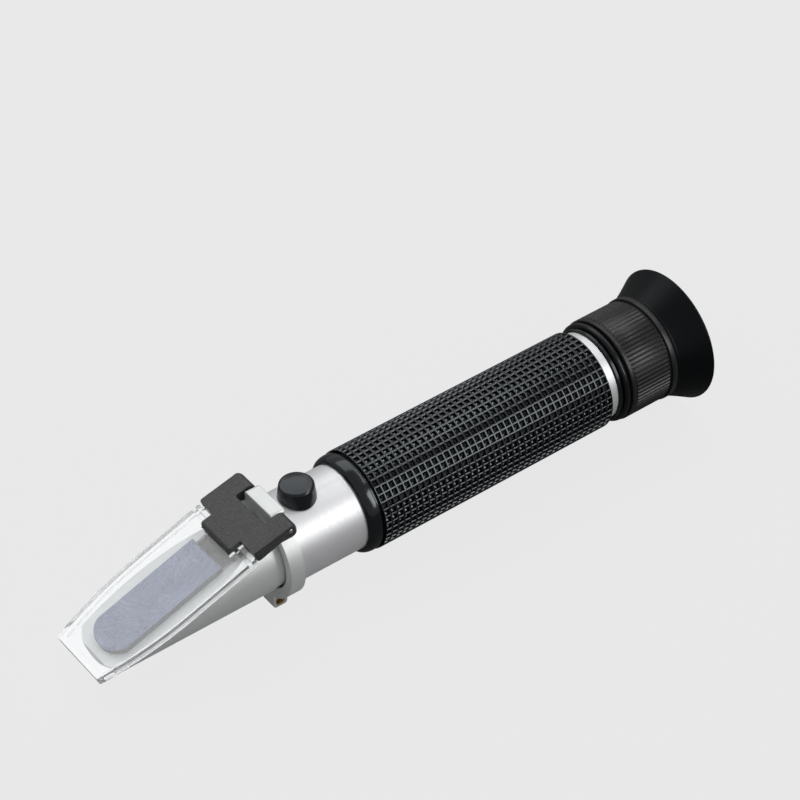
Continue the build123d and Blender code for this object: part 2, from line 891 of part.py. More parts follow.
with BuildPart() as eyepiece_mount:
    with BuildSketch(Plane.XZ) as mount_side:
        with BuildLine():
            Polyline(
                (mount_rear, mount_flange_r - mount_edge),
                (mount_rear, mount_barrel_r),
                (groove_front, mount_barrel_r),
                (groove_front, groove_r),
                (groove_rear, groove_r),
                (groove_rear, mount_barrel_r),
                (barrel_rear, mount_barrel_r),
                (barrel_rear, mount_bore_r),
                (tube_rear - mount_spigot_length, mount_bore_r),
                (tube_rear - mount_spigot_length, insert_r),
                (tube_rear, insert_r),
                (tube_rear, mount_front_r),
                (step_rear, mount_front_r),
                (step_rear, mount_groove_r),
                (bulge_front, mount_groove_r),
            )
            ThreePointArc(
                (bulge_front, mount_groove_r),
                (tube_rear + mount_bulge_x, mount_flange_r),
                (mount_rear, mount_flange_r - mount_edge),
            )
        make_face()
    revolve(axis=Axis.X)
    with BuildSketch(Plane.XY):
        with Locations((mount_rear + key_start, 0)):
            Rectangle(
                mount_barrel_length,
                2 * (guide_pin_r + run_gap),
                align=(Align.MIN, Align.CENTER),
            )
    extrude(amount=mount_bore_r + key_depth, mode=Mode.SUBTRACT)

# Sealing ring in the groove of the barrel
with BuildPart() as o_ring:
    with BuildSketch(Plane.XZ):
        with Locations(((groove_front + groove_rear) / 2, groove_r + seat_gap + ring_section_r)):
            Circle(ring_section_r)
    revolve(axis=Axis.X)

# Focus ring with fine ribs between two smooth beads
ring_bore_r = mount_barrel_r + free_gap
web_front = barrel_rear + stop_gap
web_rear = web_front + focus_web
ribs_start = focus_front + focus_bead
ribs_end = ribs_start + focus_rib_length
focus_body_r = focus_r - focus_rib_depth
cup_seat_rear = focus_rear + cup_seat_length

with BuildPart() as focus_ring:
    revolve(
        side_face(
            (focus_front, ring_bore_r),
            (focus_front, focus_r - focus_edge),
            (focus_front + focus_edge, focus_r),
            (ribs_start, focus_r),
            (ribs_start, focus_body_r),
            (ribs_end + focus_groove, focus_body_r),
            (ribs_end + focus_groove, focus_band_r),
            (focus_rear - focus_edge, focus_band_r),
            (focus_rear, focus_band_r - focus_edge),
            (focus_rear, cup_seat_r),
            (cup_seat_rear, cup_seat_r),
            (cup_seat_rear, cup_seat_r - cup_seat_wall),
            (focus_rear, cup_seat_r - cup_seat_wall),
            (focus_rear, carrier_flange_r + free_gap),
            (web_rear, carrier_flange_r + free_gap),
            (web_rear, carrier_r + free_gap),
            (web_front, carrier_r + free_gap),
            (web_front, ring_bore_r),
        ),
        axis=Axis.X,
    )
    extrude(
        ribbed_face(
            ribs_start + focus_edge,
            (ring_bore_r + focus_body_r) / 2,
            focus_r,
            focus_rib_depth,
            focus_ribs,
            focus_rib_share,
        ),
        amount=focus_rib_length - focus_edge,
    )

# Lens carrier, keyed against turning and drawn back by the web of the focus ring
carrier_front = tube_rear + carrier_setback
carrier_rear = carrier_front + carrier_length
carrier_lens_r = carrier_bore_r - seat_gap
flange_front = web_rear + slide_gap
flange_rear = flange_front + carrier_flange_length
key_x = carrier_front + guide_pin_setback

with BuildPart() as lens_carrier:
    revolve(
        side_face(
            (carrier_front, carrier_aperture_r),
            (carrier_front, carrier_r),
            (flange_front, carrier_r),
            (flange_front, carrier_flange_r),
            (flange_rear, carrier_flange_r),
            (flange_rear, carrier_r),
            (carrier_rear, carrier_r),
            (carrier_rear, carrier_bore_r),
            (carrier_front + carrier_lip, carrier_bore_r),
            (carrier_front + carrier_lip, carrier_aperture_r),
        ),
        axis=Axis.X,
    )
    with BuildSketch(Plane.XY.offset(carrier_aperture_r)):
        with Locations((key_x, 0)):
            Circle(guide_pin_r + seat_gap)
    extrude(amount=carrier_r, mode=Mode.SUBTRACT)

# Pin of the carrier that slides in the key slot of the mount
with BuildPart() as guide_pin:
    with BuildSketch(Plane.XY.offset(carrier_bore_r + slide_gap)):
        with Locations((key_x, 0)):
            Circle(guide_pin_r)
    extrude(amount=carrier_r + guide_pin_reach - carrier_bore_r - slide_gap)

# Field lens, spacer, eye lens and threaded ring, from front to rear
field_front = carrier_front + carrier_lip + lens_gap
eyepiece_ring_front = carrier_rear - slide_gap - eyepiece_ring_length
eye_front = eyepiece_ring_front - lens_gap - eye_edge

with BuildPart() as field_lens:
    revolve(
        lens_face(field_front, field_edge, carrier_lens_r, field_front_sag, field_rear_sag),
        axis=Axis.X,
    )

with BuildPart() as eye_lens:
    revolve(
        lens_face(eye_front, eye_edge, carrier_lens_r, eye_front_sag, eye_rear_sag),
        axis=Axis.X,
    )

with BuildPart() as lens_spacer:
    revolve(
        ring_face(
            field_front + field_edge + lens_gap,
            eye_front - lens_gap,
            carrier_lens_r - spacer_wall,
            carrier_lens_r,
        ),
        axis=Axis.X,
    )

with BuildPart() as eyepiece_ring:
    revolve(
        ring_face(
            eyepiece_ring_front,
            eyepiece_ring_front + eyepiece_ring_length,
            carrier_lens_r - eyepiece_ring_wall,
            carrier_lens_r,
        ),
        axis=Axis.X,
    )

# Rubber eyecup: a thin flare on the spigot of the focus ring
neck_rear = focus_rear + cup_neck_length
lip_x = cup_rear - cup_lip_x
flare_start = cup_seat_rear + slide_gap
rim_outer_r = cup_rim_r - cup_lip_drop
rim_inner_r = rim_outer_r - cup_rim_flat
cup_inner_r = cup_rim_r - cup_wall

with BuildPart() as eyecup:
    with BuildSketch(Plane.XZ):
        with BuildLine():
            ThreePointArc(
                (neck_rear, cup_neck_r),
                (focus_rear + cup_waist_x, cup_waist_r),
                (lip_x, cup_rim_r),
            )
            Line((lip_x, cup_rim_r), (cup_rear, rim_outer_r))
            Line((cup_rear, rim_outer_r), (cup_rear, rim_inner_r))
            Line((cup_rear, rim_inner_r), (lip_x, cup_inner_r))
            ThreePointArc(
                (lip_x, cup_inner_r),
                (focus_rear + cup_waist_x + cup_wall / 2, cup_waist_r - cup_wall),
                (flare_start, cup_seat_r + seat_gap),
            )
            Polyline(
                (flare_start, cup_seat_r + seat_gap),
                (focus_rear, cup_seat_r + seat_gap),
                (focus_rear, cup_neck_r),
                (neck_rear, cup_neck_r),
            )
        make_face()
    revolve(axis=Axis.X)

# Every piece under its own name
pieces = {
    "body_tube": body_tube,
    "collar_ring": collar_ring,
    "clamp_screw": clamp_screw,
    "hinge_pin": hinge_pin,
    "hinge_bracket": hinge_bracket,
    "daylight_plate": daylight_plate,
    "diffuser_pad": diffuser_pad,
    "prism_box": prism_box,
    "measuring_prism": measuring_prism,
    "prism_seal": prism_seal,
    "prism_retainer": prism_retainer,
    "retainer_screws": retainer_screws,
    "screw_bush": screw_bush,
    "calibration_screw": calibration_screw,
    "calibration_cap": calibration_cap,
    "objective_guide": objective_guide,
    "guide_ring": guide_ring,
    "leaf_spring": leaf_spring,
    "objective_cell": objective_cell,
    "objective_crown": objective_crown,
    "objective_flint": objective_flint,
    "objective_ring": objective_ring,
    "light_baffle": light_baffle,
    "reticle_disc": reticle_disc,
    "reticle_holder": reticle_holder,
    "reticle_ring": reticle_ring,
    "grip_sleeve": grip_sleeve,
    "eyepiece_mount": eyepiece_mount,
    "o_ring": o_ring,
    "focus_ring": focus_ring,
    "lens_carrier": lens_carrier,
    "guide_pin": guide_pin,
    "field_lens": field_lens,
    "eye_lens": eye_lens,
    "lens_spacer": lens_spacer,
    "eyepiece_ring": eyepiece_ring,
    "eyecup": eyecup,
}
for name, piece in pieces.items():
    piece.part.label = name
    export_step(piece.part, f"parts/{name}.step")
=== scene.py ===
"""Handheld brix refractometer, dressed for a plain studio picture.

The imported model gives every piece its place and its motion. This script gives each piece its
finish, and stands finer meshes in for the turned, moulded and clear pieces that the eye rests on.
"""

import json
import logging
import math
from dataclasses import dataclass
from enum import Enum
from typing import Optional, Sequence

import bmesh
import bpy
from mathutils import Matrix, Vector


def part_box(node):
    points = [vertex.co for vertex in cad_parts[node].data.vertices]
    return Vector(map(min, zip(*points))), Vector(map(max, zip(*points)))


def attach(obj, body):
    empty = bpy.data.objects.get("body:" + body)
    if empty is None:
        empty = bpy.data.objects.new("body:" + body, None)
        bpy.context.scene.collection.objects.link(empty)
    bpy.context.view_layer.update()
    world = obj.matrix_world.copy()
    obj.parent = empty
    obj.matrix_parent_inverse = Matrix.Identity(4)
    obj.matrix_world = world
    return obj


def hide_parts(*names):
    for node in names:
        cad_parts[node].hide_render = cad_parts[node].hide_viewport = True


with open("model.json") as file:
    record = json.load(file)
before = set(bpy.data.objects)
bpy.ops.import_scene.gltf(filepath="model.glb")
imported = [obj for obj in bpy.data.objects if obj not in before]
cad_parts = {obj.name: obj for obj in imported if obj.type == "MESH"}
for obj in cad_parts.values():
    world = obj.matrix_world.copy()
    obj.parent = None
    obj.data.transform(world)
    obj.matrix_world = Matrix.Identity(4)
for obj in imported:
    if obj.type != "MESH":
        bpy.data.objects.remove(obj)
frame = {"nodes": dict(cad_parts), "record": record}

LOG = logging.getLogger("refractometer")
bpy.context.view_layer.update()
MM = 0.001

# A CAD node's loose triangles are merged at this distance, and are one face below this angle.
CAD_MERGE_MM = 0.001
FLAT_BELOW_DEG = 0.6

# Edges over this angle are rounded off.
SHARP_ABOVE_DEG = 38.0

# Most of a noise's values lie between these, so they are spread from here.
NOISE_SPAN = {"From Min": 0.35, "From Max": 0.65}

Pair = tuple[float, float]
Point = tuple[float, float]
Socket = bpy.types.NodeSocket


class Turn(Enum):
    """The axis that a turned piece is spun about."""

    OPTICAL = "optical"
    UPRIGHT = "upright"


class Body(str, Enum):
    """The moving bodies that the pieces ride on."""

    ROOT = "root"
    COVER = "cover"
    CAP = "cap"
    EYEPIECE = "eyepiece"


# Colours and nodes


def linear(hex_colour: str) -> tuple[float, float, float, float]:
    """Turn an sRGB hex colour into the linear colour that shaders work in.

    Args:
        hex_colour: A colour such as "#E6E7E9".

    Returns:
        Red, green, blue and an alpha of one.
    """
    digits = hex_colour.lstrip("#")
    channels = []
    for start in (0, 2, 4):
        value = int(digits[start : start + 2], 16) / 255
        low = value <= 0.04045
        channels.append(value / 12.92 if low else ((value + 0.055) / 1.055) ** 2.4)
    return (channels[0], channels[1], channels[2], 1.0)


def add_node(
    tree: bpy.types.NodeTree,
    kind: str,
    settings: Optional[dict] = None,
    links: Optional[dict] = None,
) -> bpy.types.Node:
    """Add a node to a tree, with its settings and what feeds it.

    Args:
        tree: The node tree.
        kind: The node's type, such as "ShaderNodeBump".
        settings: Input names or indices, or the node's own properties, and their values.
        links: Input names or indices, and the output sockets that feed them.

    Returns:
        The new node.
    """
    node = tree.nodes.new(kind)
    for key, value in (settings or {}).items():
        if isinstance(key, int) or key in node.inputs:
            node.inputs[key].default_value = value
        else:
            setattr(node, key, value)
    for key, source in (links or {}).items():
        tree.links.new(source, node.inputs[key])
    return node


def new_tree(name: str) -> tuple[bpy.types.Material, bpy.types.NodeTree, bpy.types.Node]:
    """Make a material with only its output node.

    Args:
        name: The material's name.

    Returns:
        The material, its node tree and its output node.
    """
    material = bpy.data.materials.new(name)
    material.use_nodes = True
    tree = material.node_tree
    tree.nodes.clear()
    return material, tree, add_node(tree, "ShaderNodeOutputMaterial")


def per_mm(size_mm: float) -> float:
    """A noise's scale, from the width of its blotches in millimetres."""
    return 1 / (size_mm * MM)


def patterned(
    made: tuple[bpy.types.Material, bpy.types.NodeTree, bpy.types.Node],
    settings: dict,
    colour: Socket,
    pattern: Socket,
    roughness: Pair,
    relief: Pair,
) -> bpy.types.Material:
    """Finish a material whose pattern shows both in its sheen and in its relief.

    Args:
        made: The material, its node tree and its output node.
        settings: The shader's own constants.
        colour: The surface's colour.
        pattern: The pattern's height, as a noise gives it.
        roughness: The roughness where the pattern is low, and where it is high.
        relief: The pattern's depth in millimetres, and how strongly it shows.

    Returns:
        The material.
    """
    material, tree, output = made
    sheen = add_node(
        tree,
        "ShaderNodeMapRange",
        {**NOISE_SPAN, "To Min": roughness[0], "To Max": roughness[1]},
        {"Value": pattern},
    )
    bump = add_node(
        tree,
        "ShaderNodeBump",
        {"Distance": relief[0] * MM, "Strength": relief[1]},
        {"Height": pattern},
    )
    shader = add_node(
        tree,
        "ShaderNodeBsdfPrincipled",
        settings,
        {
            "Base Color": colour,
            "Roughness": sheen.outputs["Result"],
            "Normal": bump.outputs["Normal"],
        },
    )
    tree.links.new(shader.outputs["BSDF"], output.inputs["Surface"])
    return material


def backdrop_share(tree: bpy.types.NodeTree, plain: float, mirrored: float) -> Socket:
    """How much of a ray sees the backdrop's plain colour.

    Args:
        tree: The node tree.
        plain: The share for rays from the eye, straight or through something clear.
        mirrored: The share for rays that a glossy surface sends there.

    Returns:
        The larger of the shares that the ray has, and zero for the light that falls on things.
    """
    rays = add_node(tree, "ShaderNodeLightPath")
    seen = add_node(
        tree,
        "ShaderNodeMath",
        {"operation": "MAXIMUM"},
        {0: rays.outputs["Is Camera Ray"], 1: rays.outputs["Is Transmission Ray"]},
    )
    shares = [
        add_node(tree, "ShaderNodeMath", {"operation": "MULTIPLY", 1: share}, {0: source})
        for share, source in (
            (plain, seen.outputs[0]),
            (mirrored, rays.outputs["Is Glossy Ray"]),
        )
    ]
    larger = add_node(
        tree,
        "ShaderNodeMath",
        {"operation": "MAXIMUM"},
        {0: shares[0].outputs[0], 1: shares[1].outputs[0]},
    )
    return larger.outputs[0]


# Finishes


@dataclass(frozen=True)
class SatinAluminium:
    """Anodised aluminium, turned: nearly white where light falls on it, with a wide soft sheen.

    The oxide scatters a share of the light, so the metallic value is well under one. That keeps
    the metal pale where it mirrors nothing. Real lathe marks are too fine to show here, so they
    are drawn a few times as coarse, long round the axis and short along it.
    """

    name: str
    light: str
    dark: str
    roughness: float
    metallic: float = 0.55
    smoother: float = 0.04
    rougher: float = 0.05
    mark_mm: float = 0.22
    mark_stretch: tuple[float, float, float] = (1.0, 0.02, 0.02)
    mark_depth_mm: float = 0.004
    mark_strength: float = 0.12
    cloud_mm: float = 6.0

    def build(self) -> bpy.types.Material:
        """Make the material.

        Returns:
            The material, with lathe marks in its sheen and a faint cloud in its colour.
        """
        material, tree, output = new_tree(self.name)
        where = add_node(tree, "ShaderNodeTexCoord").outputs["Object"]
        round_axis = add_node(
            tree, "ShaderNodeMapping", {"Scale": self.mark_stretch}, {"Vector": where}
        )
        marks = add_node(
            tree,
            "ShaderNodeTexNoise",
            {"Scale": per_mm(self.mark_mm), "Detail": 3.0},
            {"Vector": round_axis.outputs["Vector"]},
        )
        cloud = add_node(
            tree, "ShaderNodeTexNoise", {"Scale": per_mm(self.cloud_mm)}, {"Vector": where}
        )
        colour = add_node(
            tree,
            "ShaderNodeMix",
            {"data_type": "RGBA", 6: linear(self.dark), 7: linear(self.light)},
            {0: cloud.outputs["Fac"]},
        )
        return patterned(
            (material, tree, output),
            {"Metallic": self.metallic},
            colour.outputs[2],
            marks.outputs["Fac"],
            (self.roughness - self.smoother, self.roughness + self.rougher),
            (self.mark_depth_mm, self.mark_strength),
        )


@dataclass(frozen=True)
class MouldedRubber:
    """Black moulded rubber: dark and dense, with a cool sheen that a fine grain breaks up."""

    name: str
    base: str
    bloom: str
    roughness: float
    specular: float
    grain_mm: float = 0.25
    grain_depth_mm: float = 0.01
    grain_strength: float = 0.4
    smoother: float = 0.05
    rougher: float = 0.06
    cloud_mm: float = 9.0
    ior: float = 1.52
    sheen: str = "#EAF3F8"

    def build(self) -> bpy.types.Material:
        """Make the material.

        Returns:
            The material, with the mould's grain in its sheen and a faint bloom in its colour.
        """
        material, tree, output = new_tree(self.name)
        where = add_node(tree, "ShaderNodeTexCoord").outputs["Object"]
        grain = add_node(
            tree,
            "ShaderNodeTexNoise",
            {"Scale": per_mm(self.grain_mm), "Detail": 3.0},
            {"Vector": where},
        )
        cloud = add_node(
            tree, "ShaderNodeTexNoise", {"Scale": per_mm(self.cloud_mm)}, {"Vector": where}
        )
        colour = add_node(
            tree,
            "ShaderNodeMix",
            {"data_type": "RGBA", 6: linear(self.base), 7: linear(self.bloom)},
            {0: cloud.outputs["Fac"]},
        )
        return patterned(
            (material, tree, output),
            {
                "Specular IOR Level": self.specular,
                "IOR": self.ior,
                "Specular Tint": linear(self.sheen),
            },
            colour.outputs[2],
            grain.outputs["Fac"],
            (self.roughness - self.smoother, self.roughness + self.rougher),
            (self.grain_depth_mm, self.grain_strength),
        )


@dataclass(frozen=True)
class MouldedPlastic:
    """Black ABS from a spark-eroded mould: an even fine grain that greys it under top light.

    A real spark grain is about 0.1 mm. It is drawn three times as coarse, or it wouldn't show.
    """

    name: str
    base: str
    bloom: str
    roughness: float
    specular: float = 0.4
    grain_mm: float = 0.35
    grain_depth_mm: float = 0.02
    grain_strength: float = 0.5
    mottle_mm: float = 0.9
    unevenness: float = 0.06
    ior: float = 1.5

    def build(self) -> bpy.types.Material:
        """Make the material.

        Returns:
            The material, with its grain in relief and a mottle in its colour.
        """
        material, tree, output = new_tree(self.name)
        where = add_node(tree, "ShaderNodeTexCoord").outputs["Object"]
        grain = add_node(
            tree,
            "ShaderNodeTexNoise",
            {"Scale": per_mm(self.grain_mm), "Detail": 4.0},
            {"Vector": where},
        )
        blotches = add_node(
            tree,
            "ShaderNodeTexNoise",
            {"Scale": per_mm(self.mottle_mm), "Detail": 4.0},
            {"Vector": where},
        )
        mottle = add_node(
            tree, "ShaderNodeMapRange", NOISE_SPAN, {"Value": blotches.outputs["Fac"]}
        )
        colour = add_node(
            tree,
            "ShaderNodeMix",
            {"data_type": "RGBA", 6: linear(self.base), 7: linear(self.bloom)},
            {0: mottle.outputs["Result"]},
        )
        return patterned(
            (material, tree, output),
            {"IOR": self.ior, "Specular IOR Level": self.specular},
            colour.outputs[2],
            grain.outputs["Fac"],
            (self.roughness - self.unevenness, self.roughness + self.unevenness),
            (self.grain_depth_mm, self.grain_strength),
        )


@dataclass(frozen=True)
class ClearAcrylic:
    """Moulded acrylic: clear, with bright polished edges and a little milk in its depth."""

    name: str
    tint: str
    smooth: float = 0.005
    rough: float = 0.015
    clearness: float = 0.88
    flow_mm: float = 5.0
    ior: float = 1.49

    def build(self) -> bpy.types.Material:
        """Make the material.

        Returns:
            The material, whose polish wavers where the plastic flowed.
        """
        material, tree, output = new_tree(self.name)
        where = add_node(tree, "ShaderNodeTexCoord").outputs["Object"]
        flow = add_node(
            tree, "ShaderNodeTexNoise", {"Scale": per_mm(self.flow_mm)}, {"Vector": where}
        )
        polish = add_node(
            tree,
            "ShaderNodeMapRange",
            {**NOISE_SPAN, "To Min": self.smooth, "To Max": self.rough},
            {"Value": flow.outputs["Fac"]},
        )
        shader = add_node(
            tree,
            "ShaderNodeBsdfPrincipled",
            {
                "IOR": self.ior,
                "Transmission Weight": self.clearness,
                "Base Color": linear(self.tint),
            },
            {"Roughness": polish.outputs["Result"]},
        )
        tree.links.new(shader.outputs["BSDF"], output.inputs["Surface"])
        return material


@dataclass(frozen=True)
class GroundGlass:
    """Blue-grey glass, ground with coarse grit: an even frost on both faces, and painted shade on
    its cut sides.

    The pad lies on a slope, so its sides are told from its faces by how deep they lie under its
    top plane. The grit's own size is about 0.1 mm; the frost is drawn coarser, as it shows in
    the photograph.
    """

    name: str
    light: str
    dark: str
    # The colour of the cut sides: painted shade, darker than the frosted faces.
    painted_side_shade: str
    on_top: tuple[float, float, float] = (-4.35, 0.0, 13.78)
    slope: float = 19.29
    thickness_mm: float = 2.24
    side_depth_mm: float = 0.4
    edge_mm: float = 0.1
    frost_mm: float = 0.45
    frost_span: Pair = (0.36, 0.64)
    frost_depth_mm: float = 0.03
    frost_strength: float = 0.4
    cloud: float = 0.2
    cloud_mm: float = 7.0
    smooth: float = 0.4
    rough: float = 0.6
    ior: float = 1.5

    def build(self) -> bpy.types.Material:
        """Make the material.

        Returns:
            The material, frosted on the pad's two faces, with painted shade darkening its sides.
        """
        material, tree, output = new_tree(self.name)
        where = add_node(tree, "ShaderNodeTexCoord").outputs["Object"]
        grit = add_node(
            tree,
            "ShaderNodeTexNoise",
            {"Scale": per_mm(self.frost_mm), "Detail": 5.0},
            {"Vector": where},
        )
        frost = add_node(
            tree,
            "ShaderNodeMapRange",
            {
                "From Min": self.frost_span[0],
                "From Max": self.frost_span[1],
                "To Max": 1.0 - self.cloud,
            },
            {"Value": grit.outputs["Fac"]},
        )
        haze = add_node(
            tree, "ShaderNodeTexNoise", {"Scale": per_mm(self.cloud_mm)}, {"Vector": where}
        )
        cloud = add_node(
            tree,
            "ShaderNodeMapRange",
            {**NOISE_SPAN, "To Max": self.cloud},
            {"Value": haze.outputs["Fac"]},
        )
        both = add_node(
            tree,
            "ShaderNodeMath",
            {"operation": "ADD"},
            {0: frost.outputs["Result"], 1: cloud.outputs["Result"]},
        )
        frosted = add_node(
            tree,
            "ShaderNodeMix",
            {"data_type": "RGBA", 6: linear(self.dark), 7: linear(self.light)},
            {0: both.outputs[0]},
        )
        # Painted shade: the cut sides take a darker colour than the frosted faces.
        colour = add_node(
            tree,
            "ShaderNodeMix",
            {"data_type": "RGBA", 6: linear(self.painted_side_shade)},
            {0: self.faces(tree, where), 7: frosted.outputs[2]},
        )
        return patterned(
            (material, tree, output),
            {"IOR": self.ior},
            colour.outputs[2],
            frost.outputs["Result"],
            (self.smooth, self.rough),
            (self.frost_depth_mm, self.frost_strength),
        )

    def faces(self, tree: bpy.types.NodeTree, where: Socket) -> Socket:
        """Tell the pad's two ground faces from its cut sides, which take the painted shade.

        Args:
            tree: The node tree.
            where: The place on the pad, in Object coordinates.

        Returns:
            One on the top and on the underside, and zero on the sides.
        """
        lean = math.radians(self.slope)
        outward = Vector((-math.sin(lean), 0.0, math.cos(lean)))
        level = outward.dot(Vector(self.on_top)) * MM
        deep = level - self.side_depth_mm * MM
        low = level - self.thickness_mm * MM
        height = add_node(
            tree, "ShaderNodeVectorMath", {"operation": "DOT_PRODUCT", 1: outward}, {0: where}
        )
        top = add_node(
            tree,
            "ShaderNodeMapRange",
            {"From Min": deep - self.edge_mm * MM, "From Max": deep},
            {"Value": height.outputs["Value"]},
        )
        underside = add_node(
            tree,
            "ShaderNodeMapRange",
            {
                "From Min": low + 0.2 * self.edge_mm * MM,
                "From Max": low + 0.8 * self.edge_mm * MM,
                "To Min": 1.0,
                "To Max": 0.0,
            },
            {"Value": height.outputs["Value"]},
        )
        either = add_node(
            tree,
            "ShaderNodeMath",
            {"operation": "MAXIMUM"},
            {0: top.outputs["Result"], 1: underside.outputs["Result"]},
        )
        return either.outputs[0]


@dataclass(frozen=True)
class CoatedGlass:
    """Polished optical glass: clear and hard-edged, with the faint colour of its coating."""

    name: str
    tint: str
    haze_mm: float = 3.0
    haze: float = 0.02
    ior: float = 1.6

    def build(self) -> bpy.types.Material:
        """Make the material.

        Returns:
            The material, with a trace of haze in its polish.
        """
        material, tree, output = new_tree(self.name)
        where = add_node(tree, "ShaderNodeTexCoord").outputs["Object"]
        haze = add_node(
            tree, "ShaderNodeTexNoise", {"Scale": per_mm(self.haze_mm)}, {"Vector": where}
        )
        polish = add_node(
            tree,
            "ShaderNodeMapRange",
            {**NOISE_SPAN, "To Max": self.haze},
            {"Value": haze.outputs["Fac"]},
        )
        shader = add_node(
            tree,
            "ShaderNodeBsdfPrincipled",
            {"IOR": self.ior, "Transmission Weight": 1.0, "Base Color": linear(self.tint)},
            {"Roughness": polish.outputs["Result"]},
        )
        tree.links.new(shader.outputs["BSDF"], output.inputs["Surface"])
        return material


@dataclass(frozen=True)
class TurnedMetal:
    """Small turned or drawn metal: bright, with fine tool marks and a little tarnish."""

    name: str
    light: str
    dark: str
    roughness: float
    dulling: float = 0.1
    tarnish_mm: float = 0.8
    tarnish_depth_mm: float = 0.01
    tarnish_strength: float = 0.3

    def build(self) -> bpy.types.Material:
        """Make the material.

        Returns:
            The material, darker and duller where it is tarnished.
        """
        material, tree, output = new_tree(self.name)
        where = add_node(tree, "ShaderNodeTexCoord").outputs["Object"]
        blotches = add_node(
            tree,
            "ShaderNodeTexNoise",
            {"Scale": per_mm(self.tarnish_mm), "Detail": 4.0},
            {"Vector": where},
        )
        brightness = add_node(
            tree, "ShaderNodeMapRange", NOISE_SPAN, {"Value": blotches.outputs["Fac"]}
        ).outputs["Result"]
        colour = add_node(
            tree,
            "ShaderNodeMix",
            {"data_type": "RGBA", 6: linear(self.dark), 7: linear(self.light)},
            {0: brightness},
        )
        return patterned(
            (material, tree, output),
            {"Metallic": 1.0},
            colour.outputs[2],
            brightness,
            (self.roughness + self.dulling, self.roughness),
            (self.tarnish_depth_mm, self.tarnish_strength),
        )


# The finish of each material slot, and what the real material gives the eye there.
FINISHES = {
    # Drawn tube, fine-turned and clear anodised: almost white, brightest along its upper front.
    "satin_tube": SatinAluminium(
        "anodised aluminium tube", light="#EDEDEF", dark="#E6E7E9", roughness=0.46
    ),
    # Machined bar and collar, clear anodised: a touch greener and softer than the tube.
    "satin_metal": SatinAluminium(
        "anodised aluminium housing", light="#EAEDEC", dark="#E0E4E2", roughness=0.5
    ),
    # Turned brass screw: a small warm spot between the collar's ears.
    "brass": TurnedMetal("turned brass", light="#D9AE66", dark="#9A6A34", roughness=0.25),
    # Drawn steel pin: a bright dot in the bracket's arm.
    "steel_pin": TurnedMetal("drawn steel", light="#D8D8DA", dark="#A9A9AC", roughness=0.2),
    # Rolled and blued spring strip: darker than the pin, with the same hard shine.
    "spring_steel": TurnedMetal(
        "rolled spring steel", light="#A5A8AE", dark="#74777E", roughness=0.25
    ),
    # Moulded in a spark-eroded mould: dull charcoal with a visible grain, near black at its sides.
    "black_moulding": MouldedPlastic(
        "spark-grained ABS",
        base="#2A2C2A",
        bloom="#454745",
        roughness=0.5,
        specular=0.6,
        grain_depth_mm=0.05,
        mottle_mm=0.5,
    ),
    # Moulded and polished: as pale as the paper behind it, drawn by its grey and white edges.
    "clear_acrylic": ClearAcrylic("polished acrylic", tint="#FBFCFD"),
    # Ground on both faces: blue-grey and speckled, with no reflection of its own, and painted
    # shade on its cut sides.
    "frosted_glass": GroundGlass(
        "ground blue glass", light="#949DBC", dark="#3C4866", painted_side_shade="#262E3A"
    ),
    # Polished and coated: the prism and the lenses, faintly green.
    "optical_glass": CoatedGlass("coated optical glass", tint="#EEF4F2"),
    # Cured bead round the prism: dull grey.
    "sealant": MouldedRubber(
        "cured silicone sealant", base="#9A9B9C", bloom="#A9AAAB", roughness=0.6, specular=0.3
    ),
    # Turned and black anodised: matt, so that no light strays inside the tube.
    "black_metal": MouldedPlastic(
        "black anodised aluminium",
        base="#141414",
        bloom="#1C1C1C",
        roughness=0.5,
        specular=0.3,
        grain_mm=0.2,
    ),
    # Moulded in a polished mould: the cap's blue-black top and the hard edge of its sheen.
    "black_rubber": MouldedRubber(
        "moulded cap rubber",
        base="#0B0D10",
        bloom="#12151A",
        roughness=0.18,
        specular=0.5,
        grain_mm=0.3,
        grain_depth_mm=0.002,
    ),
    # Glossy rubber: black pits, with a bright stroke along each ridge that faces the light.
    "grip_rubber": MouldedRubber(
        "moulded grip rubber",
        base="#020305",
        bloom="#050708",
        roughness=0.16,
        specular=0.6,
        grain_mm=0.3,
        grain_depth_mm=0.001,
    ),
    # Moulded with fine ribs: dark grey, streaked along the axis.
    "black_plastic": MouldedPlastic(
        "ribbed ABS",
        base="#131513",
        bloom="#1C1E1B",
        roughness=0.34,
        specular=0.4,
        grain_mm=0.3,
    ),
    # Soft matt rubber: the deepest black, with a faint sheen on its upper flank only.
    "cup_rubber": MouldedRubber(
        "soft eyecup rubber",
        base="#010203",
        bloom="#030506",
        roughness=0.4,
        specular=0.16,
        grain_mm=0.4,
    ),
    # The same ABS as the ring, turned smooth: black, with thin rings of light on its edges.
    "turned_black": MouldedRubber(
        "smooth turned ABS",
        base="#050505",
        bloom="#090909",
        roughness=0.22,
        specular=0.4,
        grain_mm=0.3,
        grain_depth_mm=0.003,
    ),
}


# Meshes


@dataclass(frozen=True)
class Corner:
    """A corner of a turned profile: place along the axis, radius and rounding, in millimetres."""

    along: float
    radius: float
    rounding: float = 0.0


def rounded(corners: Sequence[Corner], steps: int = 5) -> list[Point]:
    """Walk round a closed profile and round its corners.

    Args:
        corners: The corners in order.
        steps: How many pieces a rounded corner is made of.

    Returns:
        Points along and away from the axis, in millimetres.
    """
    outline: list[Point] = []
    for i, corner in enumerate(corners):
        here = Vector((corner.along, corner.radius))
        if corner.rounding <= 0:
            outline.append((here.x, here.y))
            continue
        before = corners[i - 1]
        after = corners[(i + 1) % len(corners)]
        arms = []
        for other in (before, after):
            arm = Vector((other.along, other.radius)) - here
            reach = min(corner.rounding, arm.length * 0.49)
            arms.append(here + arm.normalized() * reach)
        for step in range(steps + 1):
            t = step / steps
            point = arms[0] * (1 - t) ** 2 + here * (2 * t * (1 - t)) + arms[1] * t**2
            outline.append((point.x, point.y))
    return outline


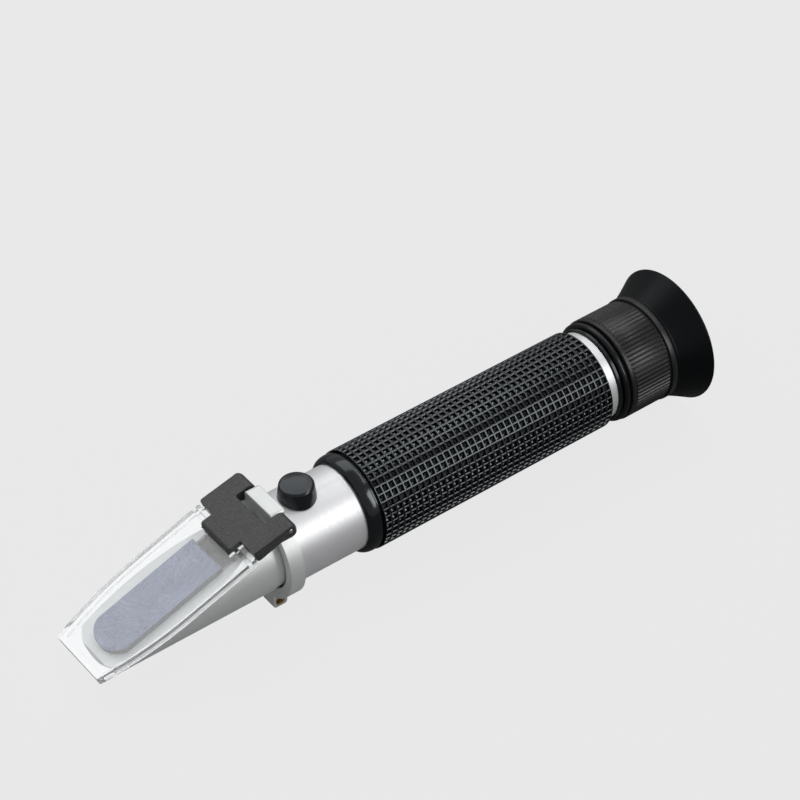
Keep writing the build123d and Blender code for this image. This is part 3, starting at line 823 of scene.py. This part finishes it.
def swept_curve(points: Sequence[Point], count: int) -> list[Point]:
    """Sample a cubic curve that four points control.

    Args:
        points: The curve's two ends, with its two control points between them.
        count: How many pieces it is cut into.

    Returns:
        One point more than the pieces, both ends included.
    """
    a, b, c, d = (Vector(p) for p in points)
    samples: list[Point] = []
    for i in range(count + 1):
        t = i / count
        s = 1 - t
        p = a * s**3 + b * (3 * s * s * t) + c * (3 * s * t * t) + d * t**3
        samples.append((p.x, p.y))
    return samples


def turned(
    outline: Sequence[Point], segments: int, turn: Turn, axis_x: float = 0.0
) -> bmesh.types.BMesh:
    """Spin a closed outline into a solid.

    Args:
        outline: Points along and away from the axis, in millimetres.
        segments: How many steps make the full turn.
        turn: The axis: the optical one, or an upright one.
        axis_x: Where an upright axis stands along X, in millimetres.

    Returns:
        The solid's mesh, with its faces pointing outwards.
    """
    bm = bmesh.new()
    ring = []
    for along, radius in outline:
        upright = (axis_x + radius, 0, along)
        place = (along, 0, radius) if turn is Turn.OPTICAL else upright
        ring.append(bm.verts.new(Vector(place) * MM))
    edges = [bm.edges.new((ring[i - 1], ring[i])) for i in range(len(ring))]
    centre = Vector((axis_x if turn is Turn.UPRIGHT else 0, 0, 0)) * MM
    direction = (1, 0, 0) if turn is Turn.OPTICAL else (0, 0, 1)
    bmesh.ops.spin(
        bm,
        geom=ring + edges,
        cent=centre,
        axis=direction,
        angle=math.tau,
        steps=segments,
        use_merge=True,
    )
    close_up(bm)
    return bm


def close_up(bm: bmesh.types.BMesh, distance_mm: float = 0.002) -> None:
    """Merge vertices that coincide and point every face outwards.

    Args:
        bm: The mesh, which is changed in place.
        distance_mm: How near to each other vertices are to be merged.
    """
    bmesh.ops.remove_doubles(bm, verts=bm.verts, dist=distance_mm * MM)
    bmesh.ops.dissolve_degenerate(bm, edges=bm.edges, dist=distance_mm * MM / 10)
    bmesh.ops.recalc_face_normals(bm, faces=bm.faces)


def cad_copy(node: str) -> bmesh.types.BMesh:
    """Copy a CAD node's mesh, with its loose triangles merged into flat faces.

    Args:
        node: The CAD node's name.

    Returns:
        The copy.
    """
    bm = bmesh.new()
    bm.from_mesh(frame["nodes"][node].data)
    bmesh.ops.remove_doubles(bm, verts=bm.verts, dist=CAD_MERGE_MM * MM)
    bmesh.ops.dissolve_limit(
        bm,
        angle_limit=math.radians(FLAT_BELOW_DEG),
        use_dissolve_boundaries=False,
        verts=bm.verts,
        edges=bm.edges,
    )
    return bm


@dataclass
class Workshop:
    """Makes the materials once, and turns meshes into pieces that ride on the model's bodies."""

    materials: dict[str, bpy.types.Material]

    @classmethod
    def open(cls) -> "Workshop":
        """Build every finish and paint the CAD nodes with theirs.

        Returns:
            The workshop, with a material for each finish.
        """
        shop = cls({slot: finish.build() for slot, finish in FINISHES.items()})
        for part in frame["record"]["subparts"]:
            node = frame["nodes"][part["node"]]
            node.data.materials.clear()
            node.data.materials.append(shop.materials[part["material_slot"]])
        return shop

    def piece(
        self,
        name: str,
        bm: bmesh.types.BMesh,
        body: Body,
        slot: str,
        node: Optional[str],
        smooth_below: float = 35.0,
        finish: Optional[str] = None,
    ) -> bpy.types.Object:
        """Turn a mesh into a finished piece of the object.

        Args:
            name: The piece's name.
            bm: The mesh, in the row frame. It is freed.
            body: The body that carries the piece.
            slot: The material slot it takes its finish from.
            node: The CAD node it stands for, or None for a small trim piece.
            smooth_below: Edges under this angle, in degrees, are shaded smooth.
            finish: The finish, where it isn't the slot's own.

        Returns:
            The new object.
        """
        mesh = bpy.data.meshes.new(name)
        bm.to_mesh(mesh)
        bm.free()
        mesh.polygons.foreach_set("use_smooth", [True] * len(mesh.polygons))
        mesh.set_sharp_from_angle(angle=math.radians(smooth_below))
        mesh.materials.append(self.materials[finish or slot])
        made = bpy.data.objects.new(name, mesh)
        bpy.context.scene.collection.objects.link(made)
        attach(made, body.value)
        if node:
            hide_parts(node)
        LOG.info("%s: %d faces, rides on %s", name, len(mesh.polygons), body.value)
        return made

    def softened(
        self, name: str, node: str, body: Body, slot: str, width_mm: float, segments: int = 3
    ) -> bpy.types.Object:
        """Stand in for a CAD node with a copy whose sharp edges are rounded off.

        Args:
            name: The piece's name.
            node: The CAD node it stands for.
            body: The body that carries the piece.
            slot: The material slot it takes its finish from.
            width_mm: How wide the rounding is.
            segments: How many faces the rounding has across.

        Returns:
            The new object.
        """
        made = self.piece(name, cad_copy(node), body, slot, node)
        bevel = made.modifiers.new("edges", "BEVEL")
        bevel.width = width_mm * MM
        bevel.segments = segments
        bevel.limit_method = "ANGLE"
        bevel.angle_limit = math.radians(SHARP_ABOVE_DEG)
        bevel.harden_normals = True
        return made


# The object's sub-assemblies


@dataclass
class TubeAndCollar:
    """The bare tube with its silver band, and the collar that carries the hinge."""

    tube_edge: float = 0.12
    collar_edge: float = 0.2
    screw_edge: float = 0.08
    pin_edge: float = 0.06
    recess_r: float = 12.6
    recess_depth: float = 1.15
    liner_r: float = 11.35
    liner_inset: float = 0.1
    liner_lip: float = 0.2
    # The black ring that stands for the shade in the recess's gap: painted shadow.
    painted_shadow_ring_r: float = 10.7
    painted_shadow_ring_thickness: float = 0.35
    segments: int = 128

    def build(self, shop: Workshop) -> None:
        """Round off the tube, the collar, its screw and the hinge pin, line the recess, and set a
        black ring in it as painted shadow.

        Args:
            shop: The workshop that finishes the pieces.
        """
        shop.softened("tube", "body_tube", Body.ROOT, "satin_tube", self.tube_edge)
        shop.softened("collar", "collar_ring", Body.ROOT, "satin_metal", self.collar_edge)
        shop.softened("ear_screw", "clamp_screw", Body.ROOT, "brass", self.screw_edge)
        shop.softened("pin", "hinge_pin", Body.ROOT, "steel_pin", self.pin_edge)
        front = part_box("collar_ring")[0].x / MM
        seat = front + self.recess_depth
        liner = rounded(
            [
                Corner(seat, self.recess_r),
                Corner(front + self.liner_inset, self.recess_r, self.liner_inset),
                Corner(front + self.liner_inset, self.liner_r, self.liner_lip),
                Corner(seat, self.liner_r),
            ]
        )
        bm = turned(liner, self.segments, Turn.OPTICAL)
        shop.piece("collar_liner", bm, Body.ROOT, "satin_metal", None)
        # Painted shadow: a black ring fills the gap between the box and the collar, where shade
        # falls.
        painted_shadow_ring = [
            (seat, self.liner_r),
            (seat - self.painted_shadow_ring_thickness, self.liner_r),
            (seat - self.painted_shadow_ring_thickness, self.painted_shadow_ring_r),
            (seat, self.painted_shadow_ring_r),
        ]
        bm = turned(painted_shadow_ring, self.segments, Turn.OPTICAL)
        shop.piece("collar_painted_shadow_ring", bm, Body.ROOT, "black_rubber", None)


@dataclass
class PrismHead:
    """The round metal box that is cut off along its prism."""

    edge: float = 0.1

    def build(self, shop: Workshop) -> None:
        """Round off the box, with the workshop that finishes it."""
        shop.softened("prism_housing", "prism_box", Body.ROOT, "satin_metal", self.edge)


@dataclass
class Cover:
    """The hinged bracket with the clear daylight plate and the frosted pad under it.

    The pad is let down from the plate by a hair, because two faces in one place render as streaks.
    """

    bracket_edge: float = 0.3
    plate_edge: float = 0.06
    pad_edge: float = 0.1
    pad_gap: float = 0.04
    slope: float = 19.29

    def build(self, shop: Workshop) -> None:
        """Round off the bracket, the plate and the pad.

        Args:
            shop: The workshop that finishes the pieces.
        """
        shop.softened("bracket", "hinge_bracket", Body.COVER, "black_moulding", self.bracket_edge)
        plate = shop.softened(
            "plate", "daylight_plate", Body.COVER, "clear_acrylic", self.plate_edge, 1
        )
        plate.visible_shadow = False
        pad = shop.softened("pad", "diffuser_pad", Body.COVER, "frosted_glass", self.pad_edge)
        lean = math.radians(self.slope)
        sink = Vector((math.sin(lean), 0.0, -math.cos(lean))) * self.pad_gap * MM
        pad.data.transform(Matrix.Translation(sink))


@dataclass
class CalibrationCap:
    """The rubber cap over the calibration screw, with a saddle that sits on the tube."""

    base_r: float = 5.2
    top_r: float = 4.7
    crown: float = 0.4
    edge: float = 0.7
    hollow_r: float = 3.7
    roof: float = 1.5
    foot: float = 11.0
    foot_margin: float = 0.1
    saddle_r: float = 12.5
    crown_steps: int = 8
    segments: int = 96

    def build(self, shop: Workshop) -> None:
        """Turn the cap and press its foot to the tube.

        Args:
            shop: The workshop that finishes the pieces.
        """
        low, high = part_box("calibration_cap")
        axis_x = (low.x + high.x) / 2 / MM
        top = high.z / MM
        shoulder = top - self.crown
        ceiling = shoulder - self.roof
        wall = rounded(
            [
                Corner(ceiling, self.hollow_r),
                Corner(self.foot, self.hollow_r),
                Corner(self.foot, self.base_r),
                Corner(shoulder, self.top_r, self.edge),
                Corner(top, 0.0),
            ]
        )
        dome = swept_curve(
            [
                (shoulder + 0.03, self.top_r - self.edge),
                (shoulder + 0.2, self.top_r - 1.5),
                (top, self.top_r - 3.0),
                (top, 0.0),
            ],
            self.crown_steps,
        )
        outline = wall[:-1] + dome[1:] + [(ceiling, 0.0)]
        bm = turned(outline, self.segments, Turn.UPRIGHT, axis_x)
        for vert in bm.verts:
            if vert.co.z < (self.foot + self.foot_margin) * MM:
                vert.co.z = math.sqrt((self.saddle_r * MM) ** 2 - vert.co.y**2)
        shop.piece("rubber_cap", bm, Body.CAP, "black_rubber", "calibration_cap", 40.0)


@dataclass
class Grip:
    """The rubber sleeve: a glossy lip in front, and rows of square pits behind it.

    A pit's wall steepens in steps, and pit_walls gives each one's slope in degrees and its length.
    """

    rows: int = 38
    columns: int = 41
    crest_r: float = 14.3
    bore_r: float = 12.3
    lip_front_r: float = 12.6
    lip_r: float = 14.0
    lip_length: float = 3.7
    neck_r: float = 13.35
    neck_length: float = 0.9
    lip_steps: int = 28
    ridge_flat: float = 0.06
    pit_walls: tuple[Pair, ...] = ((14, 0.09), (32, 0.11), (50, 0.12), (68, 0.16), (78, 0.6))
    pit_point: float = 0.35
    weld: float = 0.01
    segments: int = 160

    def build(self, shop: Workshop) -> None:
        """Make the lip and the pitted sleeve, joined into a single piece.

        Args:
            shop: The workshop that finishes the pieces.
        """
        low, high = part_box("grip_sleeve")
        front = low.x / MM
        rear = high.x / MM
        bm = self.lip(front)
        sleeve = self.pitted(front + self.lip_length + self.neck_length, rear)
        joined = bpy.data.meshes.new("sleeve part")
        sleeve.to_mesh(joined)
        sleeve.free()
        bm.from_mesh(joined)
        bpy.data.meshes.remove(joined)
        shop.piece("waffle_grip", bm, Body.ROOT, "grip_rubber", "grip_sleeve", 24.0)

    def lip(self, front: float) -> bmesh.types.BMesh:
        """Turn the lip and the neck behind it.

        Args:
            front: Where the lip starts along the axis, in millimetres.

        Returns:
            The mesh.
        """
        lip_rear = front + self.lip_length
        neck_rear = lip_rear + self.neck_length + 0.2
        crown = swept_curve(
            [
                (front, self.lip_front_r),
                (front + 0.5, self.lip_r - 0.2),
                (front + 1.7, self.lip_r + 0.03),
                (lip_rear - 0.3, self.lip_r),
            ],
            self.lip_steps,
        )
        tail = [
            (lip_rear - 0.12, self.lip_r - 0.04),
            (lip_rear, self.lip_r - 0.18),
            (lip_rear, self.neck_r),
            (neck_rear, self.neck_r),
            (neck_rear, self.bore_r),
            (front + 0.15, self.bore_r),
            (front, self.bore_r + 0.1),
        ]
        return turned(crown + tail, self.segments, Turn.OPTICAL)

    def pitted(self, front: float, rear: float) -> bmesh.types.BMesh:
        """Return the sleeve with its pits.

        Args:
            front: Where the pits start along the axis, in millimetres.
            rear: Where the sleeve ends.

        Returns:
            The mesh: a grid of cells, pitted, wrapped round the tube and given its bore.
        """
        length = (rear - front) * MM
        girth = math.tau * self.crest_r * MM
        bm = bmesh.new()
        bmesh.ops.create_grid(bm, x_segments=self.rows, y_segments=self.columns, size=0.5)
        bmesh.ops.scale(bm, vec=(length, girth, 1), verts=bm.verts)
        cells = bm.faces[:]
        steps = [(self.ridge_flat, 0.0)]
        for slope, reach in self.pit_walls:
            lean = math.radians(slope)
            steps.append((reach * math.cos(lean), -reach * math.sin(lean)))
        for run, drop in steps:
            bmesh.ops.inset_individual(
                bm, faces=cells, thickness=run * MM, depth=drop * MM, use_even_offset=True
            )
        bmesh.ops.poke(bm, faces=cells, offset=-self.pit_point * MM)
        ends = []
        for edge in bm.edges:
            if edge.is_boundary and abs(edge.verts[0].co.x - edge.verts[1].co.x) < 1e-9:
                ends.append(edge)
        skirt = bmesh.ops.extrude_edge_only(bm, edges=ends)["geom"]
        inner = [g for g in skirt if isinstance(g, bmesh.types.BMVert)]
        for vert in inner:
            vert.co.z = (self.bore_r - self.crest_r) * MM
        middle = Vector(((front + rear) / 2 * MM, 0, 0))
        for vert in bm.verts:
            angle = vert.co.y / (self.crest_r * MM)
            radius = self.crest_r * MM + vert.co.z
            vert.co = middle + Vector(
                (vert.co.x, -radius * math.sin(angle), radius * math.cos(angle))
            )
        bmesh.ops.remove_doubles(bm, verts=bm.verts, dist=self.weld * MM)
        loops = [e for e in bm.edges if e.is_boundary]
        bmesh.ops.bridge_loops(bm, edges=loops)
        bmesh.ops.recalc_face_normals(bm, faces=bm.faces)
        return bm


@dataclass
class Eyepiece:
    """The black flange, the ribbed focus ring and the flared rubber cup."""

    segments: int = 160
    flange_length: float = 3.2
    front_r: float = 13.5
    groove_r: float = 13.2
    flange_r: float = 14.9
    barrel_r: float = 12.6
    barrel_length: float = 9.6
    plug_r: float = 11.1
    plug_length: float = 9.0
    bore_r: float = 10.4
    ring_r: float = 15.0
    bead: float = 1.3
    rib_length: float = 12.2
    rib_count: int = 77
    rib_depth: float = 0.28
    valley_share: float = 0.6
    band_r: float = 15.3
    web_r: float = 10.65
    web_front: float = 6.1
    web_rear: float = 4.0
    seat_r: float = 13.2
    seat_length: float = 3.2
    seat_wall: float = 1.1
    cup_neck_r: float = 15.1

    def build(self, shop: Workshop) -> None:
        """Make the mount's flange, the focus ring and the cup.

        Args:
            shop: The workshop that finishes the pieces.
        """
        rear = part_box("body_tube")[1].x / MM
        self.mount(shop, rear)
        low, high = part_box("focus_ring")
        self.ring(shop, low.x / MM, high.x / MM - self.seat_length)
        low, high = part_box("eyecup")
        self.cup(shop, low.x / MM, high.x / MM, high.z / MM)

    def mount(self, shop: Workshop, front: float) -> None:
        """Turn the flange behind the silver band, with the barrel that carries the focus ring.

        Args:
            shop: The workshop that finishes the piece.
            front: Where the flange meets the silver band, in millimetres along the axis.
        """
        rear = front + self.flange_length
        bulge = swept_curve(
            [
                (front + 1.2, self.groove_r),
                (front + 1.3, self.flange_r - 0.3),
                (front + 1.9, self.flange_r + 0.1),
                (rear - 0.1, self.flange_r - 0.5),
            ],
            12,
        )
        outline = [
            (front - self.plug_length, self.bore_r),
            (front - self.plug_length, self.plug_r),
            (front, self.plug_r),
            (front, self.front_r - 0.1),
            (front + 0.1, self.front_r),
            (front + 0.8, self.front_r + 0.1),
            (front + 0.9, self.front_r),
            (front + 0.9, self.groove_r),
            *bulge,
            (rear, self.flange_r - 0.7),
            (rear, self.barrel_r),
            (rear + self.barrel_length, self.barrel_r),
            (rear + self.barrel_length, self.bore_r),
        ]
        bm = turned(outline, self.segments, Turn.OPTICAL)
        shop.piece(
            "mount_flange",
            bm,
            Body.ROOT,
            "black_plastic",
            "eyepiece_mount",
            finish="turned_black",
        )

    def ring(self, shop: Workshop, front: float, rear: float) -> None:
        """Turn the focus ring, then draw its middle in between the ribs.

        Args:
            shop: The workshop that finishes the piece.
            front: Where the ring starts, in millimetres along the axis.
            rear: Where its rear band ends and the cup starts.
        """
        ribs_front = front + self.bead
        ribs_rear = ribs_front + self.rib_length
        foot_r = self.ring_r - self.rib_depth
        bore_r = self.barrel_r + 0.3
        outline = rounded(
            [
                Corner(front, bore_r),
                Corner(front, self.ring_r, 0.5),
                Corner(ribs_front - 0.1, self.ring_r, 0.15),
                Corner(ribs_front, foot_r - 0.1),
                Corner(ribs_front + 0.25, foot_r - 0.1),
                Corner(ribs_front + 0.5, self.ring_r),
                Corner(ribs_rear - 0.3, self.ring_r),
                Corner(ribs_rear, foot_r - 0.1),
                Corner(ribs_rear + 0.5, foot_r - 0.1),
                Corner(ribs_rear + 0.5, self.band_r, 0.35),
                Corner(rear, self.band_r, 0.5),
                Corner(rear, self.seat_r),
                Corner(rear + self.seat_length, self.seat_r, 0.1),
                Corner(rear + self.seat_length, self.seat_r - self.seat_wall, 0.2),
                Corner(rear, self.seat_r - self.seat_wall),
                Corner(rear, bore_r - 0.2),
                Corner(rear - self.web_rear, bore_r - 0.2),
                Corner(rear - self.web_rear, self.web_r),
                Corner(rear - self.web_front, self.web_r),
                Corner(rear - self.web_front, bore_r),
            ]
        )
        bm = turned(outline, self.rib_count * 4, Turn.OPTICAL)
        half_step = math.pi / self.rib_count
        for vert in bm.verts:
            x = vert.co.x / MM
            radius = math.hypot(vert.co.y, vert.co.z) / MM
            inside = ribs_front + 0.3 < x < ribs_rear - 0.1 and radius > self.ring_r - 0.05
            if not inside:
                continue
            angle = math.atan2(vert.co.y, vert.co.z) % (2 * half_step)
            in_valley = abs(angle - half_step) < half_step * self.valley_share
            if in_valley:
                factor = foot_r / radius
                vert.co.y *= factor
                vert.co.z *= factor
        shop.piece("ribbed_ring", bm, Body.EYEPIECE, "black_plastic", "focus_ring", 25.0)

    def cup(self, shop: Workshop, front: float, rear: float, rim_r: float) -> None:
        """Turn the rubber cup: a neck, a hollow flare and a rolled lip.

        Args:
            shop: The workshop that finishes the piece.
            front: Where the cup starts, in millimetres along the axis.
            rear: Where its lip ends.
            rim_r: The lip's radius.
        """
        flare = swept_curve(
            [
                (front + 0.6, self.cup_neck_r),
                (front + 3.2, self.cup_neck_r + 1.1),
                (front + 6.0, rim_r - 1.75),
                (rear - 0.75, rim_r - 0.1),
            ],
            24,
        )
        lip = swept_curve(
            [
                (rear - 0.55, rim_r),
                (rear - 0.15, rim_r),
                (rear, rim_r - 0.3),
                (rear, rim_r - 0.9),
            ],
            8,
        )
        inside = swept_curve(
            [
                (rear - 0.4, rim_r - 1.4),
                (front + 7.0, rim_r - 3.1),
                (front + 5.4, self.seat_r + 1.4),
                (front + 3.4, self.seat_r + 0.05),
            ],
            20,
        )
        start = [
            (front, self.seat_r + 0.05),
            (front, self.cup_neck_r - 0.2),
            (front + 0.2, self.cup_neck_r),
        ]
        bm = turned(start + flare + lip + inside, self.segments, Turn.OPTICAL)
        shop.piece("rubber_cup", bm, Body.EYEPIECE, "cup_rubber", "eyecup", 60.0)


@dataclass(frozen=True)
class Lamp:
    """A soft box: where it stands, what it aims at, how wide and how bright it is.

    One that only glints is seen in glossy surfaces and adds no light to matt ones.
    """

    name: str
    place: tuple[float, float, float]
    size: tuple[float, float]
    brightness: float
    aim: tuple[float, float, float] = (0.04, 0.0, 0.0)
    only_glints: bool = False

    def build(self) -> None:
        """Put the lamp in the scene, out of sight of the camera."""
        light = bpy.data.lights.new(self.name, "AREA")
        light.shape = "RECTANGLE"
        light.size, light.size_y = self.size
        light.energy = self.brightness * math.pi * self.size[0] * self.size[1]
        holder = bpy.data.objects.new(self.name, light)
        bpy.context.scene.collection.objects.link(holder)
        toward = Vector(self.aim) - Vector(self.place)
        holder.location = self.place
        holder.rotation_euler = toward.to_track_quat("-Z", "Y").to_euler()
        holder.visible_camera = False
        holder.visible_transmission = False
        holder.visible_diffuse = not self.only_glints


@dataclass
class Studio:
    """The pale floor, the soft lamps and the camera of the picture."""

    azimuth: float = -36.743
    elevation: float = 42.287
    roll: float = -0.588
    distance: float = 0.8
    focal_px: float = 2979.89
    image_px: float = 800.0
    sensor_mm: float = 36.0
    target: tuple[float, float, float] = (0.0666, 0.0, 0.0)
    shift_right: float = 0.020443
    shift_up: float = -0.009369
    floor_size: float = 3.0
    floor_gap: float = 0.0002
    floor_colour: str = "#EAEAEA"
    mirrored_colour: str = "#787878"
    floor_plain: float = 0.95
    backlight: float = 0.22
    floor_mirrored: float = 0.04
    sky_mirrored: float = 0.0
    world_strength: float = 0.42

    def build(self) -> None:
        """Make everything round the object."""
        self.camera()
        self.floor()
        self.world()
        lamps = (
            Lamp(
                name="front_soft_box",
                place=(0.35, -0.55, 0.38),
                size=(0.3, 0.42),
                brightness=5.2,
                only_glints=True,
            ),
            Lamp(
                name="overhead_strip",
                place=(0.42, 0.0, 0.72),
                size=(0.5, 0.08),
                brightness=6.6,
                aim=(0.06, 0.0, 0.0),
            ),
            Lamp(
                name="back_soft_box",
                place=(0.12, 0.5, 0.64),
                size=(0.9, 0.5),
                brightness=1.4,
            ),
        )
        for lamp in lamps:
            lamp.build()

    def camera(self) -> None:
        """Stand the camera where the photograph was taken from."""
        a = math.radians(self.azimuth)
        e = math.radians(self.elevation)
        r = math.radians(self.roll)
        back = Vector((math.sin(a) * math.cos(e), -math.cos(a) * math.cos(e), math.sin(e)))
        level = Vector((math.cos(a), math.sin(a), 0))
        upward = back.cross(level)
        right = math.cos(r) * level + math.sin(r) * upward
        up = math.cos(r) * upward - math.sin(r) * level
        place = (
            Vector(self.target)
            - right * self.shift_right
            - up * self.shift_up
            + back * self.distance
        )
        turn = Matrix((right, up, back)).transposed().to_4x4()
        data = bpy.data.cameras.new("camera")
        data.sensor_width = self.sensor_mm
        data.lens = self.focal_px / self.image_px * self.sensor_mm
        data.clip_start = 0.01
        data.clip_end = 20.0
        holder = bpy.data.objects.new("camera", data)
        bpy.context.scene.collection.objects.link(holder)
        holder.matrix_world = Matrix.Translation(place) @ turn
        bpy.context.scene.camera = holder

    def floor(self) -> None:
        """Lay the floor under the ears of the collar and the rim of the cup."""
        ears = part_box("collar_ring")[0]
        rim_low, rim_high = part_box("eyecup")
        front = Vector((ears.x / 2, 0, ears.z))
        rear = Vector((rim_high.x, 0, rim_low.z))
        run = (rear - front).normalized()
        normal = Vector((-run.z, 0, run.x))
        bm = bmesh.new()
        bmesh.ops.create_grid(bm, x_segments=1, y_segments=1, size=self.floor_size)
        turn = normal.to_track_quat("Z", "Y").to_matrix().to_4x4()
        place = Matrix.Translation(front - normal * self.floor_gap)
        bmesh.ops.transform(bm, matrix=place @ turn, verts=bm.verts)
        mesh = bpy.data.meshes.new("floor")
        bm.to_mesh(mesh)
        bm.free()
        mesh.materials.append(self.paper())
        made = bpy.data.objects.new("floor", mesh)
        bpy.context.scene.collection.objects.link(made)

    def paper(self) -> bpy.types.Material:
        """Pale paper that shows its plain colour to the eye and keeps a soft shadow.

        Glossy surfaces mirror it as a darker grey, so that the black rubber's low side stays as
        deep as in the photograph.

        Returns:
            The floor's material.
        """
        material, tree, output = new_tree("pale paper")
        colour = linear(self.floor_colour)
        rays = add_node(tree, "ShaderNodeLightPath")
        thrown = add_node(
            tree,
            "ShaderNodeMix",
            {"data_type": "RGBA", 6: colour, 7: linear(self.mirrored_colour)},
            {0: rays.outputs["Is Glossy Ray"]},
        )
        lit = add_node(tree, "ShaderNodeBsdfDiffuse", {}, {"Color": thrown.outputs[2]})
        plain = add_node(
            tree, "ShaderNodeEmission", {"Color": colour}, {"Strength": self.lifted(tree)}
        )
        mix = add_node(
            tree,
            "ShaderNodeMixShader",
            {},
            {
                0: backdrop_share(tree, self.floor_plain, self.floor_mirrored),
                1: lit.outputs["BSDF"],
                2: plain.outputs["Emission"],
            },
        )
        tree.links.new(mix.outputs["Shader"], output.inputs["Surface"])
        return material

    def lifted(self, tree: bpy.types.NodeTree) -> Socket:
        """Give the backdrop more strength through the clear plate, whose faces turn light away.

        Args:
            tree: The material's or the world's nodes.

        Returns:
            The strength.
        """
        rays = add_node(tree, "ShaderNodeLightPath")
        node = add_node(
            tree,
            "ShaderNodeMath",
            {"operation": "MULTIPLY_ADD", 1: self.backlight, 2: 1.0},
            {0: rays.outputs["Is Transmission Ray"]},
        )
        return node.outputs[0]

    def world(self) -> None:
        """Light the scene evenly from all round, with the paper's colour where it is seen."""
        world = bpy.data.worlds.new("studio")
        world.use_nodes = True
        tree = world.node_tree
        tree.nodes.clear()
        output = add_node(tree, "ShaderNodeOutputWorld")
        light = add_node(
            tree,
            "ShaderNodeBackground",
            {"Color": linear("#FFFFFF"), "Strength": self.world_strength},
        )
        backdrop = add_node(
            tree,
            "ShaderNodeBackground",
            {"Color": linear(self.floor_colour)},
            {"Strength": self.lifted(tree)},
        )
        mix = add_node(
            tree,
            "ShaderNodeMixShader",
            {},
            {
                0: backdrop_share(tree, 1.0, self.sky_mirrored),
                1: light.outputs["Background"],
                2: backdrop.outputs["Background"],
            },
        )
        tree.links.new(mix.outputs["Shader"], output.inputs["Surface"])
        bpy.context.scene.world = world


def main() -> None:
    """Dress the part and light it."""
    logging.basicConfig(level=logging.INFO, format="%(name)s: %(message)s")
    shop = Workshop.open()
    for assembly in (TubeAndCollar(), PrismHead(), Cover(), CalibrationCap(), Grip(), Eyepiece()):
        assembly.build(shop)
    Studio().build()
    bpy.context.scene.view_settings.view_transform = "Standard"


if __name__ == "__main__":
    main()
